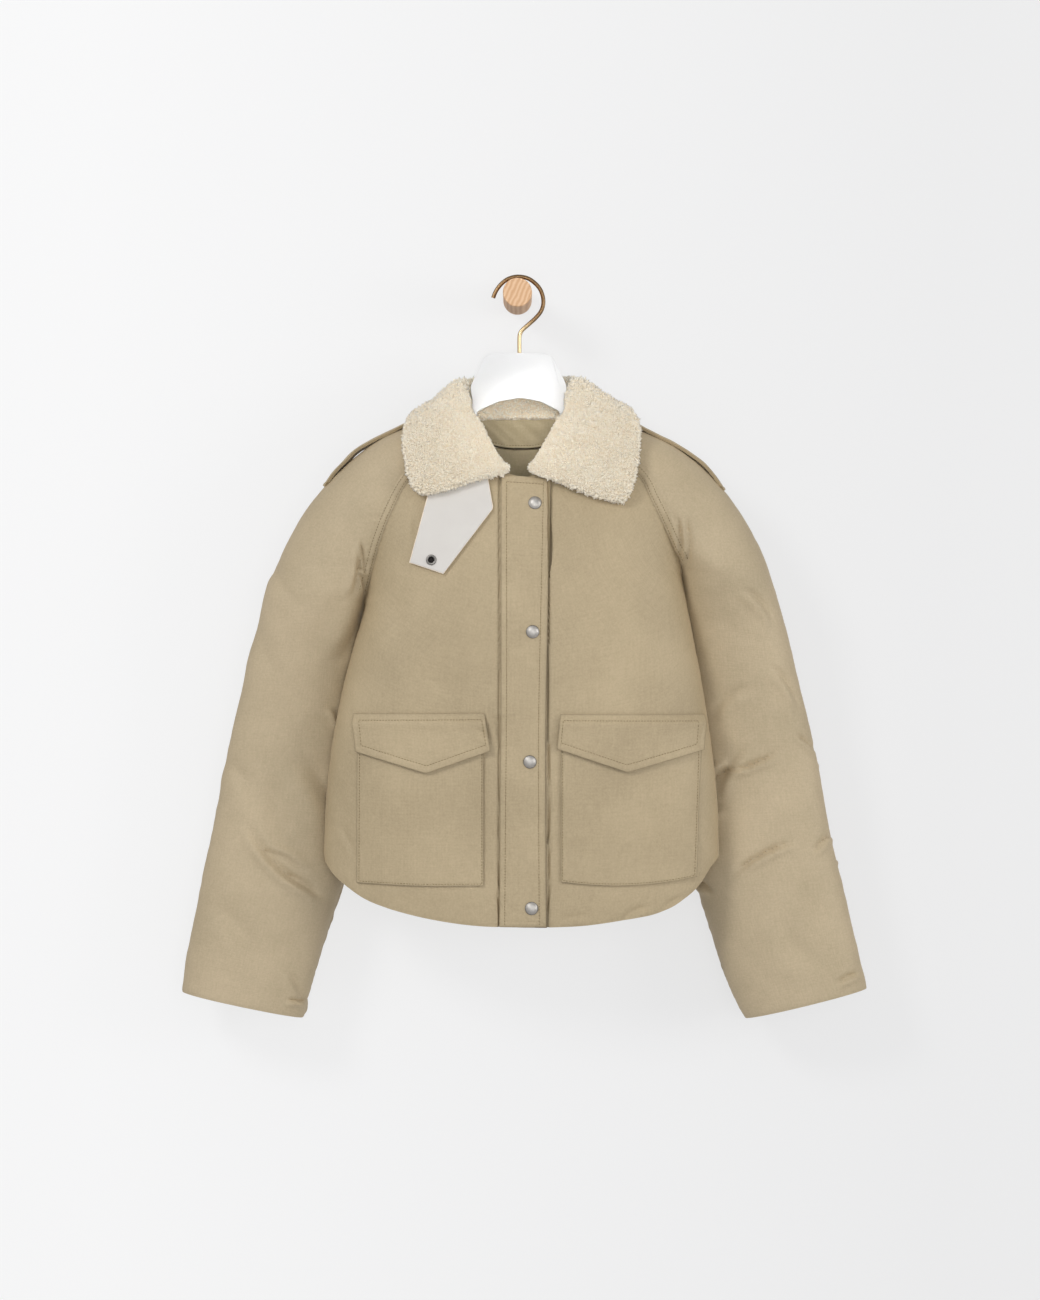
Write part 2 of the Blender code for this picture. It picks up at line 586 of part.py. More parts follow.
def collar():
    tree = tree_of([front_left, front_right, sleeve_left, sleeve_right, throat_tab, placket])
    sections = [*COLLAR_LEFT, *COLLAR_BACK, *reversed(COLLAR_RIGHT)]
    rows, cols = 35, 13
    lines = [by_length([Vector(p) for p in section], cols) for section in sections]
    middle = [[along([line[j] for line in lines], i / (rows - 1)) for j in range(cols)] for i in range(rows)]
    outer, inner = [], []
    for i in range(rows):
        line_out, line_in = [], []
        for j in range(cols):
            a, b = middle[max(i - 1, 0)][j], middle[min(i + 1, rows - 1)][j]
            c, d = middle[i][max(j - 1, 0)], middle[i][min(j + 1, cols - 1)]
            normal = (d - c).cross(b - a).normalized()
            edge = min(j, cols - 1 - j)
            tip = min(i, rows - 1 - i)
            half = COLLAR_HALF * (0.45, 0.85, 1.0)[min(edge, 2)] * (0.6, 0.95, 1.0)[min(tip, 2)]
            line_out.append(middle[i][j] + normal * half)
            line_in.append(middle[i][j] - normal * half)
        outer.append(line_out)
        inner.append(line_in)
    if (outer[3][8] - middle[3][8])[1] > 0:
        outer, inner = inner, outer
    for i in range(rows):
        for j in range(cols):
            low = cleared(tree, inner[i][j], 1.5)
            if (low - inner[i][j]).length > 1e-4:
                shift = low - inner[i][j]
                inner[i][j] = low
                outer[i][j] = outer[i][j] + shift * 0.8
    return grid_wall("collar", outer, inner, CREAM)


collar_piece = collar()


# ---- epaulettes ----
def epaulette(name, line):
    over, under = [], []
    path = by_length([(x, HANG_Y, z) for x, z in line], 15)
    for i, spot in enumerate(path):
        run = (path[min(i + 1, 14)] - path[max(i - 1, 0)]).normalized()
        up = Vector((0, 1, 0)).cross(run)
        up = up if up[2] > 0 else -up
        wide = EPAULETTE_WIDE * (0.82 if i == 14 else 0.96 if i == 13 else 1.0) / 2
        line_o, line_u = [], []
        for j in range(5):
            s = j / 2 - 1
            here = spot + Vector((0, 1, 0)) * wide * s - up * 1.4 * s * s
            line_o.append(here + up * PATCH / 2)
            line_u.append(here - up * PATCH / 2)
        over.append(line_o)
        under.append(line_u)
    return grid_wall(name, over, under, KHAKI)


epaulette("epaulette_left", EPAULETTE_LEFT)
epaulette("epaulette_right", EPAULETTE_RIGHT)


# ---- hanger, hook and peg ----
def seat_line(stations):
    """Top of a hanger arm, just under the shoulder's inner face, at the sleeve's own rows."""
    made = []
    for k in (1, 2, 3, 4):
        row = along([Vector(r) for r in stations], UNDERARM * k / 9 / (len(stations) - 1))
        inner, outer = Vector((row[0], row[1])), Vector((row[2], row[3]))
        spot = outer + (inner - outer).normalized() * (WALL + SEAT)
        made.append((spot[0], spot[1]))
    return made


def hanger():
    form = bmesh.new()
    outline = [*reversed(seat_line(SLEEVE_LEFT)), *PLATE_TOP, *seat_line(SLEEVE_RIGHT), *ARM_TIP_RIGHT,
               *HANGER_LOW, *ARM_TIP_LEFT]
    verts = [form.verts.new((x * MM, (HANG_Y - HANGER_THICK / 2) * MM, z * MM)) for x, z in outline]
    face = form.faces.new(verts)
    pushed = bmesh.ops.extrude_face_region(form, geom=[face])
    moved = [v for v in pushed["geom"] if isinstance(v, bmesh.types.BMVert)]
    bmesh.ops.translate(form, verts=moved, vec=(0, HANGER_THICK * MM, 0))
    bmesh.ops.recalc_face_normals(form, faces=form.faces)
    rims = [e for e in form.edges if abs(e.verts[0].co.y - e.verts[1].co.y) < 1e-6]
    bmesh.ops.bevel(form, geom=rims, offset=1.6 * MM, segments=2, profile=0.5, affect="EDGES")
    mesh = bpy.data.meshes.new("hanger")
    form.to_mesh(mesh)
    form.free()
    mesh.materials.append(WHITE)
    mesh.shade_smooth()
    mesh.set_sharp_from_angle(angle=math.radians(40))
    made = bpy.data.objects.new("hanger", mesh)
    JACKET.objects.link(made)
    return made


def wire(name, points, look):
    curve = bpy.data.curves.new(name, "CURVE")
    curve.dimensions = "3D"
    curve.bevel_depth = WIRE_R * MM
    curve.bevel_resolution = 3
    curve.use_fill_caps = True
    line = curve.splines.new("POLY")
    line.points.add(len(points) - 1)
    for point, spot in zip(line.points, points):
        point.co = (spot[0] * MM, spot[1] * MM, spot[2] * MM, 1.0)
    curve.materials.append(look)
    made = bpy.data.objects.new(name, curve)
    JACKET.objects.link(made)
    return made


def peg():
    form = bmesh.new()
    length = -PEG_FRONT
    bmesh.ops.create_cone(form, cap_ends=True, segments=48, radius1=PEG_R * MM, radius2=PEG_R * MM, depth=length * MM)
    rim = [e for e in form.edges if all(v.co.z > 0.4 * length * MM for v in e.verts)]
    bmesh.ops.bevel(form, geom=rim, offset=1.4 * MM, segments=2, profile=0.5, affect="EDGES")
    mesh = bpy.data.meshes.new("wall_peg")
    form.to_mesh(mesh)
    form.free()
    mesh.materials.append(WOOD)
    mesh.shade_smooth()
    mesh.set_sharp_from_angle(angle=math.radians(40))
    made = bpy.data.objects.new("wall_peg", mesh)
    made.rotation_euler = (math.radians(90), 0, 0)
    made.location = (0, PEG_FRONT / 2 * MM, 0)
    JACKET.objects.link(made)
    return made


hanger()
wire("hanger_hook", by_length([Vector((x, HANG_Y, z)) for x, z in HOOK], 40), BRONZE)
peg()
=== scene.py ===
# %% [markdown]
# # A cropped padded jacket with a shearling collar
# The real jacket is fine khaki cotton over soft filling, hung on a white plate hanger
# from a wooden wall peg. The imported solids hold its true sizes. Here each soft piece is
# laid out again from the same tables with many more faces, and then gets what a plain
# solid lacks: puff beside the seams, creases, stitches, curls and woven cloth.
# Lengths in the tables are millimetres; left and right are the viewer's.

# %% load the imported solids
import math
import random

import bmesh
import bpy
from mathutils import Matrix, Vector, noise
from mathutils.bvhtree import BVHTree
from mathutils.geometry import intersect_line_line
from mathutils.kdtree import KDTree


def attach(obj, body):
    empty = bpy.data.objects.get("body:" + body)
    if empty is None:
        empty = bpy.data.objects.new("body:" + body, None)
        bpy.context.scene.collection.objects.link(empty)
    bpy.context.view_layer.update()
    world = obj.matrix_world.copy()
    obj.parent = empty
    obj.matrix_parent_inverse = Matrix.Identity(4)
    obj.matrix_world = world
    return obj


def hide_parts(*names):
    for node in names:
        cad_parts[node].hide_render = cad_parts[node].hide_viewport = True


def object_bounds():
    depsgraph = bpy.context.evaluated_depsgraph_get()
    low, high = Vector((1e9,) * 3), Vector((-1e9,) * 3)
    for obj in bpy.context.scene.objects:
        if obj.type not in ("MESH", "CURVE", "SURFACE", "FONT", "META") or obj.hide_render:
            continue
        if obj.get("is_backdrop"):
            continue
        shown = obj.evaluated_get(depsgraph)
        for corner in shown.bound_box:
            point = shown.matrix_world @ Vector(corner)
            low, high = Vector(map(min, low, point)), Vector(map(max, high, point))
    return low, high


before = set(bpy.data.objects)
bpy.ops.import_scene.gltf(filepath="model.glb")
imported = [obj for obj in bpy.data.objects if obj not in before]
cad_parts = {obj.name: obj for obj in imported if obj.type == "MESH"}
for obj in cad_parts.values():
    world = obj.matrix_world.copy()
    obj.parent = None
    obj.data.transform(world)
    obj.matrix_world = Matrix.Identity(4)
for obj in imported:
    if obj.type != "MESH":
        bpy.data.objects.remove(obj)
cad_low, cad_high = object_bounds()
MM = 0.001
HANG_Y = -85.0
print(len(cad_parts), "packed nodes,", [round(v, 3) for v in cad_high - cad_low], "m")

# %% [markdown]
# ## Meshes and objects
# Each form starts as a bmesh, goes into a mesh and is put in the scene at the origin.

# %% mesh and object helpers
def as_mesh(form, name):
    """Hands a bmesh over to a mesh of that name."""
    mesh = bpy.data.meshes.new(name)
    form.to_mesh(mesh)
    form.free()
    return mesh


def placed(name, data):
    """An object with that data, linked into the scene."""
    made = bpy.data.objects.new(name, data)
    bpy.context.scene.collection.objects.link(made)
    return made


def settled(made):
    """The mesh of an object with its modifiers worked in."""
    return bpy.data.meshes.new_from_object(made.evaluated_get(bpy.context.evaluated_depsgraph_get()))


print("the hanger hangs", -HANG_Y, "mm in front of the wall")

# %% [markdown]
# ## Where the picture is taken from
# A catalogue picture is taken from straight ahead with a long lens, so that the sleeves
# and the hem keep their proportions. The camera stands 4.5 m in front of the hanger.
# Its lens comes from the picture's height of 1300 pixels at 1.15 mm each.

# %% camera
STAND_OFF = 4.5
SENSOR = 36
PICTURE_HIGH = 1300 * 1.15 * MM
camera = placed("camera", bpy.data.cameras.new("camera"))
camera.location = (2.9 * MM, HANG_Y * MM - STAND_OFF, -0.4095)
camera.rotation_euler = (math.radians(90), 0, 0)
camera.data.sensor_width = SENSOR
camera.data.lens = SENSOR * STAND_OFF / PICTURE_HIGH
bpy.context.scene.camera = camera
print("lens", round(camera.data.lens, 1), "mm")

# %% [markdown]
# ## Colours and nodes
# Colours are picked as sRGB hex values, but a shader works in linear light, so one
# function converts them. A second one adds a node of any kind with its settings, its
# socket values and its links, which keeps each finish short to read.

# %% colour and node helpers
def linear(hexcode):
    """An sRGB hex colour as the linear values of a shader socket."""
    parts = [int(hexcode[k:k + 2], 16) / 255 for k in (1, 3, 5)]
    return (*[p / 12.92 if p <= 0.04045 else ((p + 0.055) / 1.055) ** 2.4 for p in parts], 1.0)


def put(tree, kind, sockets=None, links=None, **settings):
    """Adds one node: settings are its properties, sockets its own values, links what feeds it.

    A link comes from a socket, or from a node, whose first output is then meant."""
    made = tree.nodes.new(kind)
    for key, value in settings.items():
        setattr(made, key, value)
    for key, value in (sockets or {}).items():
        made.inputs[key].default_value = value
    for key, source in (links or {}).items():
        tree.links.new(getattr(source, "outputs", [source])[0], made.inputs[key])
    return made


def surface(name, **numbers):
    """A material with its shader's uniform numbers set on the sockets themselves."""
    made = bpy.data.materials.new(name)
    made.use_nodes = True
    shader = made.node_tree.nodes["Principled BSDF"]
    for key, value in numbers.items():
        shader.inputs[key.replace("_", " ").title().replace("Ior", "IOR")].default_value = value
    return made, made.node_tree, shader


print("middle grey is", round(linear("#808080")[0], 3), "in linear light")

# %% [markdown]
# ## Wall, floor and light
# The backdrop is a pale wall whose light is painted on: it glows a little, brighter on the
# left where the window light stands, so that shadows on it stay faint. A large soft box by
# the camera lights the jacket, one from the upper left models it, and a weak one on the
# right and an even white sky fill in. A narrow spot reaches the neck, which the hanger
# plate and the collar shade. The wall is there for the camera only and is clear from
# behind, so that the back can be seen too.

# %% wall and floor
def backdrop(name, spot, turn):
    """A matt plane, 8 m wide, that only the camera sees; its light is painted on as a glow, brighter on the
    left.
    """
    form = bmesh.new()
    bmesh.ops.create_grid(form, x_segments=1, y_segments=1, size=4.0)
    bmesh.ops.transform(form, matrix=Matrix.Translation(spot) @ turn, verts=form.verts)
    made = placed(name, as_mesh(form, name))
    made.visible_diffuse = made.visible_glossy = made.visible_shadow = False
    made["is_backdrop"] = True
    paint, tree, shader = surface(name + "_matt_paint_and_painted_light", roughness=0.9, emission_strength=0.80)
    shader.inputs["Base Color"].default_value = linear("#747474")
    place = put(tree, "ShaderNodeTexCoord").outputs["Object"]
    across = put(tree, "ShaderNodeSeparateXYZ", None, {"Vector": place}).outputs["X"]
    share = put(tree, "ShaderNodeMapRange", {"From Min": -0.5, "From Max": 0.5}, {"Value": across})
    # Painted light: the glow is brighter on the left, where the window light stands, and dimmer on the right.
    painted_light_falloff = {6: linear("#F7F7F7"), 7: linear("#E9E9E9")}
    glow = put(tree, "ShaderNodeMix", painted_light_falloff, {0: share}, data_type="RGBA")
    tree.links.new(glow.outputs[2], shader.inputs["Emission Color"])
    behind = put(tree, "ShaderNodeNewGeometry").outputs["Backfacing"]
    clear = put(tree, "ShaderNodeBsdfTransparent")
    both = put(tree, "ShaderNodeMixShader", None, {0: behind, 1: shader, 2: clear})
    tree.links.new(both.outputs[0], tree.nodes["Material Output"].inputs["Surface"])
    made.data.materials.append(paint)


backdrop("wall", (0, 0.0008, -0.5), Matrix.Rotation(math.radians(90), 4, "X"))
backdrop("floor", (0, -3.0, -1.9), Matrix.Identity(4))
print("wall and floor painted")


# %% lights
def lamp(name, kind, watts, spot, aim, **settings):
    """A light that stands at a spot and points at an aim."""
    light = bpy.data.lights.new(name, kind)
    light.energy = watts
    for key, value in settings.items():
        setattr(light, key, value)
    made = placed(name, light)
    made.location = spot
    made.rotation_euler = (Vector(aim) - Vector(spot)).to_track_quat("-Z", "Y").to_euler()


CHEST = (0, -0.1, -0.4)
lamp("window_light", "AREA", 57, (-2.3, -3.0, 1.7), CHEST, shape="DISK", size=1.2)
lamp("front_light", "AREA", 52, (0.4, -5.2, -0.35), CHEST, shape="DISK", size=2.2)
lamp("right_fill", "AREA", 32, (3.2, -1.9, 0.0), (0.2, -0.1, -0.45), shape="DISK", size=1.6)
sky = bpy.data.worlds.new("studio")
sky.use_nodes = True
sky.node_tree.nodes["Background"].inputs["Color"].default_value = linear("#FAFBFF")
sky.node_tree.nodes["Background"].inputs["Strength"].default_value = 0.512
bpy.context.scene.world = sky
bpy.context.scene.view_settings.view_transform = "Standard"
lamp("neck_light", "SPOT", 20, (0.003, -1.5, -0.25), (0.003, -0.05, -0.137),
     spot_size=math.radians(7.2), spot_blend=1.0, shadow_soft_size=0.05)
print(len(bpy.data.lights), "lights")

# %% [markdown]
# ## Finishes
# Each finish starts from what the real thing is made of and how its surface was made.
# Cloth patterns read the piece's own UV map, which is laid out in metres of cloth, so
# the thread keeps its size and direction on a bent sleeve. Wood, lacquer and metal read
# Object coordinates.

# %% woven cotton
# Fine, tightly woven cotton with a faint sheen. Its real threads are about 0.3 mm apart,
# too fine to show, so the weave is drawn at 2.3 mm, 435 threads to the metre, and the
# uneven threads at 2 to 20 mm. Along its seams and edges the cloth is painted with shade,
# towards a dark seam colour; each piece says where by its seam_shade attribute. At this
# scale a wave texture has one wave per unit.
ONE_WAVE = 0.31416


def cotton(name, pale, deep, worn, roughness, sheen):
    """Woven cotton from its pale and deep thread colours and the colour of the painted shade in its seams."""
    made, tree, shader = surface(name, roughness=roughness, sheen_weight=sheen, sheen_roughness=0.45,
                                 specular_ior_level=0.35)
    cloth = put(tree, "ShaderNodeUVMap", uv_map="cloth")
    weft = put(tree, "ShaderNodeMapping", {"Scale": (70, 620, 1)}, {"Vector": cloth})
    warp = put(tree, "ShaderNodeMapping", {"Scale": (520, 55, 1)}, {"Vector": cloth})
    slub_weft = put(tree, "ShaderNodeTexNoise", {"Scale": 1.0, "Detail": 2.0}, {"Vector": weft})
    slub_warp = put(tree, "ShaderNodeTexNoise", {"Scale": 1.0, "Detail": 2.0}, {"Vector": warp})
    slub = put(tree, "ShaderNodeMath", None, {0: slub_weft, 1: slub_warp}, operation="ADD")
    place = put(tree, "ShaderNodeTexCoord").outputs["Object"]
    cloudy = put(tree, "ShaderNodeTexNoise", {"Scale": 13.0, "Detail": 3.0}, {"Vector": place})
    fleck = put(tree, "ShaderNodeTexNoise", {"Scale": 480.0, "Detail": 2.0}, {"Vector": place})
    tone = put(tree, "ShaderNodeMath", {1: 0.4}, {0: slub, 2: cloudy}, operation="MULTIPLY_ADD")
    tone = put(tree, "ShaderNodeMath", {1: 0.8}, {0: fleck, 2: tone}, operation="MULTIPLY_ADD")
    tone = put(tree, "ShaderNodeMapRange", {"From Min": 0.95, "From Max": 1.65}, {"Value": tone})
    dyed = put(tree, "ShaderNodeMix", {6: linear(deep), 7: linear(pale)}, {0: tone}, data_type="RGBA")
    # Painted shade: where the piece's seam_shade attribute is high, the colour turns to the dark seam colour.
    inside = put(tree, "ShaderNodeAttribute", attribute_name="seam_shade").outputs["Fac"]
    shown = put(tree, "ShaderNodeMix", {7: linear(worn)}, {0: inside, 6: dyed.outputs[2]}, data_type="RGBA")
    tree.links.new(shown.outputs[2], shader.inputs["Base Color"])
    shader.inputs["Sheen Tint"].default_value = linear(pale)
    thread = put(tree, "ShaderNodeMapping", {"Scale": (435, 435, 1)}, {"Vector": cloth})
    over = put(tree, "ShaderNodeTexWave", {"Scale": ONE_WAVE}, {"Vector": thread}, bands_direction="X")
    under = put(tree, "ShaderNodeTexWave", {"Scale": ONE_WAVE}, {"Vector": thread}, bands_direction="Y")
    weave = put(tree, "ShaderNodeMath", None, {0: over.outputs[1], 1: under.outputs[1]}, operation="MULTIPLY")
    relief = put(tree, "ShaderNodeMath", {1: 2.4}, {0: slub, 2: weave}, operation="MULTIPLY_ADD")
    bump = put(tree, "ShaderNodeBump", {"Strength": 0.3, "Distance": 0.0002}, {"Height": relief})
    tree.links.new(bump.outputs[0], shader.inputs["Normal"])
    return made


# The fourth colour of each cotton is the colour of its painted seam shade.
SEAM_PAINTED_SHADE = "#54472F"
SHELL = cotton("khaki_technical_cotton", "#BDAB8A", "#A99879", SEAM_PAINTED_SHADE, 0.6, 0.45)
LINING = cotton("khaki_lining_twill", "#C4B491", "#AE9F7D", "#4A3F2A", 0.55, 0.2)
# The stand's facing cotton is made paler: painted light against the shade that the collar and the hanger
# plate cast in the neck.
FACING_PAINTED_LIGHTER = cotton("pale_khaki_facing_cotton_painted_lighter", "#C6B693", "#B5A583", "#3A3120", 0.6, 0.3)
# The sleeves' cotton is the shell's, made a little paler: painted light, so the sleeves, which turn further
# from the lamps, stay as bright as the fronts.
CROSS_GRAIN_PAINTED_LIGHTER = cotton("khaki_technical_cotton_cut_crosswise_painted_lighter", "#C4B293", "#B0A082", SEAM_PAINTED_SHADE, 0.6, 0.45)
THREAD = cotton("khaki_sewing_thread", "#94845F", "#7C6D4C", SEAM_PAINTED_SHADE, 0.6, 0.1)
print("cottons:", SHELL.name, LINING.name, FACING_PAINTED_LIGHTER.name, CROSS_GRAIN_PAINTED_LIGHTER.name, THREAD.name)

# %% shearling
# Sheared lambswool: thousands of springy cream curls that scatter light softly. Each curl
# carries its own shade in an attribute, so the pile looks mottled at any distance; it also
# holds painted light, paler on the curls at the back of the neck, and painted shade, darker
# on the slab between the curls. The knots of the pile are about 2.5 mm apart, and the
# fibres are drawn at about 1 mm.
SHEARLING, tree, shader = surface("cream_lambswool_pile", roughness=0.95, sheen_weight=0.8,
                                  sheen_roughness=0.4, specular_ior_level=0.15)
shade = put(tree, "ShaderNodeAttribute", attribute_name="curl_shade").outputs["Fac"]
place = put(tree, "ShaderNodeTexCoord").outputs["Object"]
matted = put(tree, "ShaderNodeTexNoise", {"Scale": 45.0, "Detail": 2.0}, {"Vector": place})
tone = put(tree, "ShaderNodeMath", {1: 0.45}, {0: matted, 2: shade}, operation="MULTIPLY_ADD")
tone = put(tree, "ShaderNodeMapRange", {"From Min": 0.2, "From Max": 1.2}, {"Value": tone})
cream = put(tree, "ShaderNodeMix", {6: linear("#EEDCBE"), 7: linear("#FAF4E3")}, {0: tone}, data_type="RGBA")
tree.links.new(cream.outputs[2], shader.inputs["Base Color"])
knots = put(tree, "ShaderNodeTexVoronoi", {"Scale": 400.0, "Smoothness": 0.5}, {"Vector": place},
            feature="SMOOTH_F1")
fibre = put(tree, "ShaderNodeTexNoise", {"Scale": 900.0, "Detail": 2.0}, {"Vector": place})
pile = put(tree, "ShaderNodeMath", {1: -1.6}, {0: knots, 2: fibre}, operation="MULTIPLY_ADD")
bump = put(tree, "ShaderNodeBump", {"Strength": 0.5, "Distance": 0.0009}, {"Height": pile})
tree.links.new(bump.outputs[0], shader.inputs["Normal"])
print("pile:", SHEARLING.name)

# %% leather and its painted edge
# Off-white calf leather, pressed smooth: a faint pebble grain of about 0.8 mm.
LEATHER, tree, shader = surface("off_white_calf_leather", roughness=0.55, specular_ior_level=0.4)
place = put(tree, "ShaderNodeTexCoord").outputs["Object"]
patchy = put(tree, "ShaderNodeTexNoise", {"Scale": 38.0, "Detail": 3.0}, {"Vector": place})
hide = put(tree, "ShaderNodeMix", {6: linear("#D1CCC5"), 7: linear("#DBD7D0")}, {0: patchy}, data_type="RGBA")
tree.links.new(hide.outputs[2], shader.inputs["Base Color"])
grain = put(tree, "ShaderNodeTexVoronoi", {"Scale": 1250.0}, {"Vector": place})
bump = put(tree, "ShaderNodeBump", {"Strength": 0.25, "Distance": 0.00015}, {"Height": grain})
tree.links.new(bump.outputs[0], shader.inputs["Normal"])

# The cut edge is sealed with peach-cream edge paint, slightly glossy and uneven.
EDGE_PAINT, tree, shader = surface("peach_edge_paint", roughness=0.4)
place = put(tree, "ShaderNodeTexCoord").outputs["Object"]
streak = put(tree, "ShaderNodeTexNoise", {"Scale": 160.0, "Detail": 2.0}, {"Vector": place})
edge = put(tree, "ShaderNodeMix", {6: linear("#F0DCC4"), 7: linear("#FBF0DF")}, {0: streak}, data_type="RGBA")
tree.links.new(edge.outputs[2], shader.inputs["Base Color"])
print("leather:", LEATHER.name, "with", EDGE_PAINT.name)


# %% metals
# Snap caps and rims are plated and tumbled to a soft satin, so they catch a broad
# highlight that varies in patches of about 2 mm.
def plated(name, pale, deep, roughness, scratch):
    """Metal with uneven colour and polish, in patches of 1 / scratch metres."""
    made, tree, shader = surface(name, metallic=1.0, roughness=roughness)
    place = put(tree, "ShaderNodeTexCoord").outputs["Object"]
    worn = put(tree, "ShaderNodeTexNoise", {"Scale": scratch, "Detail": 4.0}, {"Vector": place})
    metal = put(tree, "ShaderNodeMix", {6: linear(deep), 7: linear(pale)}, {0: worn}, data_type="RGBA")
    tree.links.new(metal.outputs[2], shader.inputs["Base Color"])
    polish = {"To Min": roughness - 0.08, "To Max": roughness + 0.12}
    satin = put(tree, "ShaderNodeMapRange", polish, {"Value": worn})
    tree.links.new(satin.outputs[0], shader.inputs["Roughness"])
    return made, tree, shader


NICKEL = plated("satin_nickel", "#D2CEC8", "#B5B1AA", 0.5, 500.0)[0]
STEEL = plated("antique_plated_steel", "#94918C", "#74716D", 0.45, 500.0)[0]
# The socket's well is dark metal, and its dark colour also stands in for the shade in the socket's hollow:
# painted shade.
DARK_METAL_AND_HOLLOW_SHADE = plated("dark_metal_with_painted_hollow_shade", "#3A3735", "#1A1918", 0.5, 500.0)[0]

# Drawn steel wire, bronze-plated and browned on the hook, brassier on the straight stem,
# which begins 30 mm under the middle of the peg and is all brassy at 48 mm.
BRONZE, tree, shader = plated("browned_bronze_wire", "#A38460", "#735B40", 0.36, 260.0)
place = put(tree, "ShaderNodeTexCoord").outputs["Object"]
height = put(tree, "ShaderNodeSeparateXYZ", None, {"Vector": place}).outputs["Z"]
stem = put(tree, "ShaderNodeMapRange", {"From Min": -0.030, "From Max": -0.048}, {"Value": height})
browned = shader.inputs["Base Color"].links[0].from_socket
wire = put(tree, "ShaderNodeMix", {7: linear("#E6CFA3")}, {0: stem, 6: browned}, data_type="RGBA")
tree.links.new(wire.outputs[2], shader.inputs["Base Color"])
print("metals:", NICKEL.name, STEEL.name, DARK_METAL_AND_HOLLOW_SHADE.name, BRONZE.name)

# %% lacquer and wood
# Sprayed white lacquer over a cut board: smooth, satin, with a trace of orange peel.
LACQUER, tree, shader = surface("white_spray_lacquer", roughness=0.32, coat_weight=0.2, coat_roughness=0.25)
place = put(tree, "ShaderNodeTexCoord").outputs["Object"]
cast = put(tree, "ShaderNodeTexNoise", {"Scale": 25.0}, {"Vector": place})
white = put(tree, "ShaderNodeMix", {6: linear("#DCDCDB"), 7: linear("#E3E3E2")}, {0: cast}, data_type="RGBA")
tree.links.new(white.outputs[2], shader.inputs["Base Color"])
peel = put(tree, "ShaderNodeTexNoise", {"Scale": 420.0, "Detail": 2.0}, {"Vector": place})
bump = put(tree, "ShaderNodeBump", {"Strength": 0.12, "Distance": 0.0002}, {"Height": peel})
tree.links.new(bump.outputs[0], shader.inputs["Normal"])

# Turned beech, lightly oiled: growth rings about 5 mm wide cross the end at a slant.
WOOD, tree, shader = surface("oiled_beech", roughness=0.5)
place = put(tree, "ShaderNodeTexCoord").outputs["Object"]
lie = {"Rotation": (0, math.radians(-25), 0), "Scale": (1, 0.12, 1)}
slant = put(tree, "ShaderNodeMapping", lie, {"Vector": place})
growth = {"Scale": 62.0, "Distortion": 3.0, "Detail": 2.0, "Detail Scale": 1.4}
rings = put(tree, "ShaderNodeTexWave", growth, {"Vector": slant}).outputs[1]
pores = put(tree, "ShaderNodeTexNoise", {"Scale": 700.0, "Detail": 3.0}, {"Vector": slant})
tone = put(tree, "ShaderNodeMath", {1: 0.35}, {0: pores, 2: rings}, operation="MULTIPLY_ADD")
tone = put(tree, "ShaderNodeMapRange", {"From Max": 1.25}, {"Value": tone})
beech = put(tree, "ShaderNodeMix", {6: linear("#D0A073"), 7: linear("#EBC49C")}, {0: tone}, data_type="RGBA")
tree.links.new(beech.outputs[2], shader.inputs["Base Color"])
bump = put(tree, "ShaderNodeBump", {"Strength": 0.2, "Distance": 0.0003}, {"Height": tone})
tree.links.new(bump.outputs[0], shader.inputs["Normal"])
print(len(bpy.data.materials), "materials")

# %% [markdown]
# ## The body's shape
# Hung flat, the body is a lens in section: wide, rounded in front and behind, sharp at
# the side seams. One table row gives its left and right side, the side seam's depth and
# how far the front and back stand out, at a height. A point of the skin is then an angle
# round the section and a height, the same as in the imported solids.

# %% body table
CENTRE_X, SEAM, LAY, WALL = 8.0, 0.4, 0.7, 4.0
# Columns: z, left, right, side_y, front, back.
TORSO = (
    (-730.0, -220.5, 230.0, -98.0, 64.0, 58.0),
    (-645.0, -221.7, 231.1, -98.0, 68.0, 62.0),
    (-570.0, -218.0, 228.4, -98.0, 72.0, 65.0),
    (-514.0, -212.3, 221.8, -98.0, 74.0, 66.0),
    (-446.0, -198.6, 211.3, -97.0, 76.0, 66.0),
    (-404.0, -187.7, 203.0, -96.0, 76.5, 65.0),
    (-351.0, -173.5, 193.5, -95.0, 76.0, 63.0),
    (-315.0, -176.5, 187.8, -94.0, 74.5, 60.0),
    (-288.0, -182.0, 190.5, -92.5, 72.5, 57.0),
    (-253.0, -187.0, 197.0, -90.5, 68.0, 51.0),
    (-218.0, -191.0, 202.0, -88.5, 60.0, 43.5),
    (-190.0, -194.0, 204.0, -87.0, 50.0, 36.0),
    (-166.0, -196.0, 206.0, -86.0, 39.0, 28.5),
    (-120.0, -198.0, 208.0, -85.0, 15.0, 12.0),
)


def spline(rows, x, value):
    """Smooth value of a table between its rows, ordered by the rising first column."""
    if x <= rows[0][0]:
        return rows[0][value]
    if x >= rows[-1][0]:
        return rows[-1][value]
    i = max(k for k in range(len(rows) - 1) if rows[k][0] <= x)
    a, b = rows[i], rows[i + 1]
    before, after = rows[max(i - 1, 0)], rows[min(i + 2, len(rows) - 1)]
    gap = b[0] - a[0]
    t = (x - a[0]) / gap
    slope_a = (b[value] - before[value]) / (b[0] - before[0])
    slope_b = (after[value] - a[value]) / (after[0] - a[0])
    return ((2 * t**3 - 3 * t**2 + 1) * a[value] + (t**3 - 2 * t**2 + t) * gap * slope_a
            + (3 * t**2 - 2 * t**3) * b[value] + (t**3 - t**2) * gap * slope_b)


LOWEST_ROW, ROWS_END = -740, -108
BODY_ROWS = [Vector([spline(TORSO, z, k) for k in range(1, 6)]) for z in range(LOWEST_ROW, ROWS_END)]
